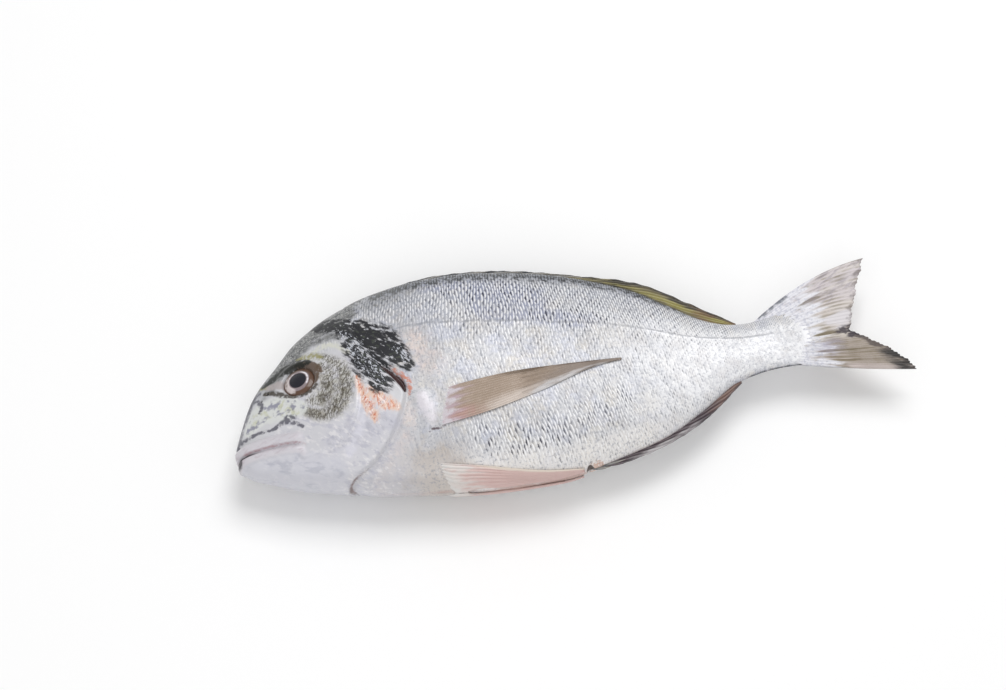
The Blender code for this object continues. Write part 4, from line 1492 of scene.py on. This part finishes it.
@dataclass
class SpineRow:
    """Hard spines that lie back in the groove in front of a soft fin."""

    form: FishForm
    name: str
    edge: Spline
    up: int
    stations: tuple[float, ...]
    lengths: tuple[float, ...]
    rise: float = 1.9
    root_sink: float = 1.2
    lean: float = 0.45
    taper: float = 0.86
    radius: float = 0.85
    rings: int = 14
    sides: int = 10

    def build(self) -> bpy.types.Object:
        """Lays out one tapered, slightly bent rod for each spine.

        Returns:
            The spines, in one mesh.
        """
        vertices, faces = [], []
        turn = np.linspace(0, 2 * math.pi, self.sides, endpoint=False)
        share = np.linspace(0, 1, self.rings)
        index, _, quads = tube(self.rings, self.sides)
        for k, (station, length) in enumerate(zip(self.stations, self.lengths)):
            s = station + length * share
            raised = (self.rise + self.root_sink) * np.sin(0.5 * math.pi * share) ** 0.8
            raised = raised - self.root_sink
            h = self.edge(s) + self.up * raised
            lean = self.lean * (1 if k % 2 else -1) * share
            middle = np.stack([s, h, lean], axis=1)
            along = np.gradient(middle, axis=0)
            along /= np.linalg.norm(along, axis=1, keepdims=True)
            side = np.tile([0, 0, 1], (self.rings, 1))
            over = np.cross(along, side)
            radius = self.radius * (1 - self.taper * share ** 1.3)
            ring = (np.cos(turn)[None, :, None] * side[:, None]
                    + np.sin(turn)[None, :, None] * over[:, None])
            block = middle[:, None] + ring * radius[:, None, None]
            vertices.append(block.reshape(-1, 3))
            for part in (quads, index[:1, ::-1], index[-1:]):
                faces += (part + k * index.size).tolist()
        tip = np.tile(np.repeat(share, self.sides), len(self.stations))
        masks = {"tip": smooth(tip, 0.5, 1), "root": smooth(tip, 0.5, 0.1)}
        placed = self.form.place(np.concatenate(vertices))
        return make_mesh(self.name, placed, faces, masks, SPINE_BONE)


@dataclass
class PairedFin:
    """A pectoral or pelvic fin that lies back against the flank."""

    form: FishForm
    name: str
    finish: Finish
    side: Side
    upper: Spline
    lower: Spline
    rays: int = 14
    branching: tuple[float, float] = (0.3, 0.55)
    ray_height: float = 0.16
    across_steps: int = 90
    along_steps: int = 150
    stand_off: float = 0.55
    root_sink: float = 1
    floor_gap: float = 0.8
    root_reach: float = 0.22
    half_thickness: float = 0.42

    def build(self) -> bpy.types.Object:
        """Lays out the fin's rays from its base to its pointed tip.

        Returns:
            The fin.
        """
        across, along = sheet_shares(self.across_steps, self.along_steps)
        root = self.upper.low + (self.lower.low - self.upper.low) * across
        root = root - 0.8 * np.sin(math.pi * across)
        s = root + (self.upper.high - root) * along
        h = self.upper(s) * (1 - across) + self.lower(s) * across
        phase = across * self.rays
        split = smooth(along, *self.branching)
        ray = ((1 - split) * (0.5 + 0.5 * np.cos(2 * math.pi * phase))
               + split * (0.5 + 0.5 * np.cos(4 * math.pi * phase)))
        rise = smooth(along, 0, 0.12)
        side = np.sin(math.pi * across) ** 0.5
        lift = -self.root_sink + (self.stand_off + self.root_sink) * rise + 0.3 * side * rise
        lift += self.ray_height * (ray - 0.5) * rise * smooth(along, 1, 0.9)
        points = self.form.above(s, h, lift, self.side)
        if self.side is Side.RIGHT:
            floor = self.floor_gap - self.form.midline_height
            points[..., 2] = np.maximum(points[..., 2], floor)
        taper = 1 - 0.45 * along
        thick = self.half_thickness * taper * (0.75 + 0.4 * ray)
        masks = {
            "ray": ray * rise,
            "root": smooth(along + 0.04 * np.sin(31 * across), self.root_reach,
                           0.1 * self.root_reach),
            "base": smooth(along + 0.03 * np.sin(23 * across + 1), 0.14, 0.05),
            "low_root": smooth(along, 0.4, 0.05) * smooth(across, 0.45, 0.9),
            "tip": smooth(along, 0.35, 0.8),
            "edge": smooth(across, 0.24, 0.02) * smooth(along, 0.12, 0.5),
            "lower": smooth(across, 0.45, 0.95) * smooth(along, 0.15, 0.4),
            "clear": smooth(across, 0.5, 0.95) * smooth(along, 0.4, 0.6)
            * smooth(along, 0.97, 0.85),
        }
        return make_sheet(self.name, self.form, points, thick, masks, self.finish)


@dataclass
class Eye:
    """An eyeball that bulges from its socket: lens, iris and dusky rim under a clear cornea."""

    form: FishForm
    side: Side
    place: tuple[float, float] = (34.4, 24.8)
    radius: float = 7.7
    dome: float = 2.9
    sink: float = 1.5
    pupil: float = 3.9
    iris: float = 5.5
    lens_swell: float = 0.25
    back_depth: float = 1.5
    rings: int = 36
    sides: int = 72

    def build(self) -> bpy.types.Object:
        """Lays out the dome and closes it with a shallow back.

        Returns:
            The eye.
        """
        s, h = self.place
        flank = float(self.form.flank(np.array([s]), np.array([h]))[0])
        centre = np.array([s, h, self.side.value * flank])
        outward = self.form.outward(s, h, self.side)
        across = outward.cross(Vector((0, 1, 0))).normalized()
        upward = across.cross(outward)
        radii = np.linspace(0, 1, self.rings + 1)[1:]
        turn = np.linspace(0, 2 * math.pi, self.sides, endpoint=False)
        radius, angle = np.meshgrid(radii, turn, indexing="ij")
        lift = self.dome * np.sqrt(1 - 0.98 * radius ** 2) - self.sink
        flat = radius * self.radius
        lift += self.lens_swell * bump(flat, 0, self.pupil)
        local = [flat * np.cos(angle), flat * np.sin(angle), lift]
        axes = np.array([across, upward, outward])
        front = sum(part[..., None] * axis for part, axis in zip(local, axes)) + centre
        tops = [centre + axes[2] * (self.dome - self.sink + self.lens_swell)]
        backs = [centre - axes[2] * (self.sink + self.back_depth)]
        vertices = np.concatenate([front.reshape(-1, 3), tops, backs])
        index, after, quads = tube(self.rings, self.sides)
        faces = quads[:, [0, 3, 2, 1]].tolist()
        top, back = len(vertices) - 2, len(vertices) - 1
        faces += [[top, int(index[0, j]), int(after[0, j])] for j in range(self.sides)]
        faces += [[back, int(after[-1, j]), int(index[-1, j])] for j in range(self.sides)]
        if (across.cross(upward)).dot(outward) < 0:
            faces = [face[::-1] for face in faces]
        reach = np.append(flat.reshape(-1), [0, self.radius])
        where = np.append(angle.reshape(-1), [0, 0])
        masks = {
            "pupil": smooth(reach, self.pupil + 0.35, self.pupil - 0.15),
            "iris": smooth(reach, self.iris + 0.5, self.iris - 0.7),
            # Brown outer iris, darkened towards the top with painted shade under the brow.
            "iris_brown_and_painted_brow_shade": smooth(reach, self.pupil + 0.6, self.iris)
            * (0.35 + 0.65 * np.cos(where - 1.2)).clip(0, 1),
            # The silver ring round the pupil, brightened with a painted highlight mostly on the
            # tail side.
            "iris_painted_glint": bump(reach, self.pupil + 0.8, 0.7) * np.maximum(
                0.2 + 0.8 * smooth(np.cos(where - 2.9), 0.3, 0.9),
                0.6 * smooth(np.cos(where - 0.9), 0.8, 0.98)),
            "white": smooth(reach, self.pupil + 0.3, self.pupil + 0.8)
            * smooth(np.cos(where + 0.25), 0.35, 0.85)
            * smooth(reach, self.radius - 0.4, self.radius - 1.6),
        }
        name = f"eye_{self.side.name.lower()}"
        return make_mesh(name, self.form.place(vertices), faces, masks, EYE)


@dataclass
class Studio:
    """A pale floor, soft light and the camera."""

    aim: tuple[float, float, float] = (131.6, 39, -20)
    azimuth: float = -13.5
    elevation: float = 62
    distance: float = 0.92
    lens: float = 70
    sensor_width: float = 36
    floor_size: float = 6
    sky: float = 0.55
    # Each light's name, place in metres, side in metres and power in watts.
    lights: tuple[tuple[Any, ...], ...] = (("key", (0.3, 0.5, 1.3), 0.8, 9.4),
                                           ("fill", (-0.5, -0.9, 0.9), 1.2, 4.6))

    def build(self, form: FishForm) -> None:
        """Sets the stage.

        Args:
            form: the fish's form, which gives the aim's place.
        """
        half = self.floor_size / 2
        mesh = bpy.data.meshes.new("floor")
        corners = [(-half, -half, 0), (half, -half, 0), (half, half, 0), (-half, half, 0)]
        mesh.from_pydata(corners, [], [(0, 1, 2, 3)])
        mesh.materials.append(STUDIO_BOARD.material())
        floor = bpy.data.objects.new("floor", mesh)
        bpy.context.scene.collection.objects.link(floor)

        world = bpy.data.worlds.new("soft_sky")
        bpy.context.scene.world = world
        world.use_nodes = True
        background = world.node_tree.nodes["Background"]
        background.inputs[0].default_value = linear("#ffffff")
        background.inputs[1].default_value = self.sky
        for light in self.lights:
            self._softbox(*light)

        target = Vector(form.place(np.array([self.aim]))[0])
        azimuth, elevation = math.radians(self.azimuth), math.radians(self.elevation)
        back = Vector((math.sin(azimuth) * math.cos(elevation),
                       -math.cos(azimuth) * math.cos(elevation), math.sin(elevation)))
        camera = bpy.data.objects.new("camera", bpy.data.cameras.new("camera"))
        camera.data.lens = self.lens
        camera.data.sensor_width = self.sensor_width
        camera.location = target + back * self.distance
        camera.rotation_euler = back.to_track_quat("Z", "Y").to_euler()
        bpy.context.scene.collection.objects.link(camera)
        bpy.context.scene.camera = camera
        bpy.context.scene.view_settings.view_transform = "Standard"

    def _softbox(self, name: str, place: tuple[float, float, float], size: float,
                 power: float) -> None:
        """Adds a square soft light that faces the fish.

        Args:
            name: the light's name.
            place: where it hangs, in metres.
            size: its side, in metres.
            power: its power, in watts.
        """
        light = bpy.data.objects.new(name, bpy.data.lights.new(name, "AREA"))
        light.data.shape = "SQUARE"
        light.data.size = size
        light.data.energy = power
        light.location = place
        light.rotation_euler = Vector(place).to_track_quat("Z", "Y").to_euler()
        bpy.context.scene.collection.objects.link(light)


def main() -> None:
    """Builds every piece of the fish, then the studio.

    The fins' knots are heights above the back or below the belly, or edges on the flank, at
    stations along the fish, all in millimetres.
    """
    logging.basicConfig(level=logging.INFO, format="%(name)s: %(message)s")
    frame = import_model()
    LOG.info("packed nodes: %s", ", ".join(frame["nodes"]))

    form = FishForm()
    dorsal = ((84, 0.3), (92, 1.6), (110, 2.3), (150, 2.5), (180, 3.6), (200, 7.4),
              (214, 8.2), (226, 6.2), (236, 1.2))
    anal = ((158, 0.3), (163, 2), (174, 2.9), (192, 3.4), (210, 4),
            (222, 3.2), (230, 1))
    pectoral_upper = Spline(((94, 1.6), (113.5, 2.6), (135.3, 3.2), (155.8, 2.5),
                             (177, 1.9)))
    pectoral_lower = Spline(((87.6, -14), (101, -13.6), (115.7, -12.2), (131.1, -9.4),
                             (146.9, -5.4), (160, -1.2), (177, 1.3)))
    pelvic_upper = Spline(((84, -27.8), (95, -30.8), (104, -33.2), (125, -38.7),
                           (138, -40.9), (149, -41.7)))
    pelvic_lower = Spline([(s, float(form.belly(s)) + 0.15 + max(0, 91 - s) * 0.35)
                           for s in (86, 91, 99, 110, 120, 130, 138, 149)])
    builders: list[Callable[[], bpy.types.Object]] = [
        Skin(form).build,
        CaudalFin(form).build,
        FoldedFin(form, "dorsal_fin", FOLDED_SKIN, form.back, dorsal, 1).build,
        FoldedFin(form, "anal_fin", ANAL_SKIN, form.belly, anal, -1, front=0,
                  lean=34).build,
        # Eleven spines, 7.6 mm apart.
        SpineRow(form, "dorsal_spines", form.back, 1, tuple(84 + 7.6 * k for k in range(11)),
                 (12, 18, 22, 24, 25, 25, 24, 23, 22, 21, 20)).build,
        SpineRow(form, "anal_spines", form.belly, -1, (153.5, 156.5, 160),
                 (8, 13, 15), rise=1.4).build,
    ]
    for side in Side:
        word = side.name.lower()
        builders += [
            PairedFin(form, f"pectoral_fin_{word}", PECTORAL_SKIN, side, pectoral_upper,
                      pectoral_lower).build,
            PairedFin(form, f"pelvic_fin_{word}", PELVIC_SKIN, side, pelvic_upper, pelvic_lower,
                      rays=7, stand_off=0.35, root_reach=0.42).build,
            Eye(form, side).build,
        ]
    for build in builders:
        piece = build()
        LOG.info("built %s", piece.name)
    Studio().build(form)


if __name__ == "__main__":
    main()
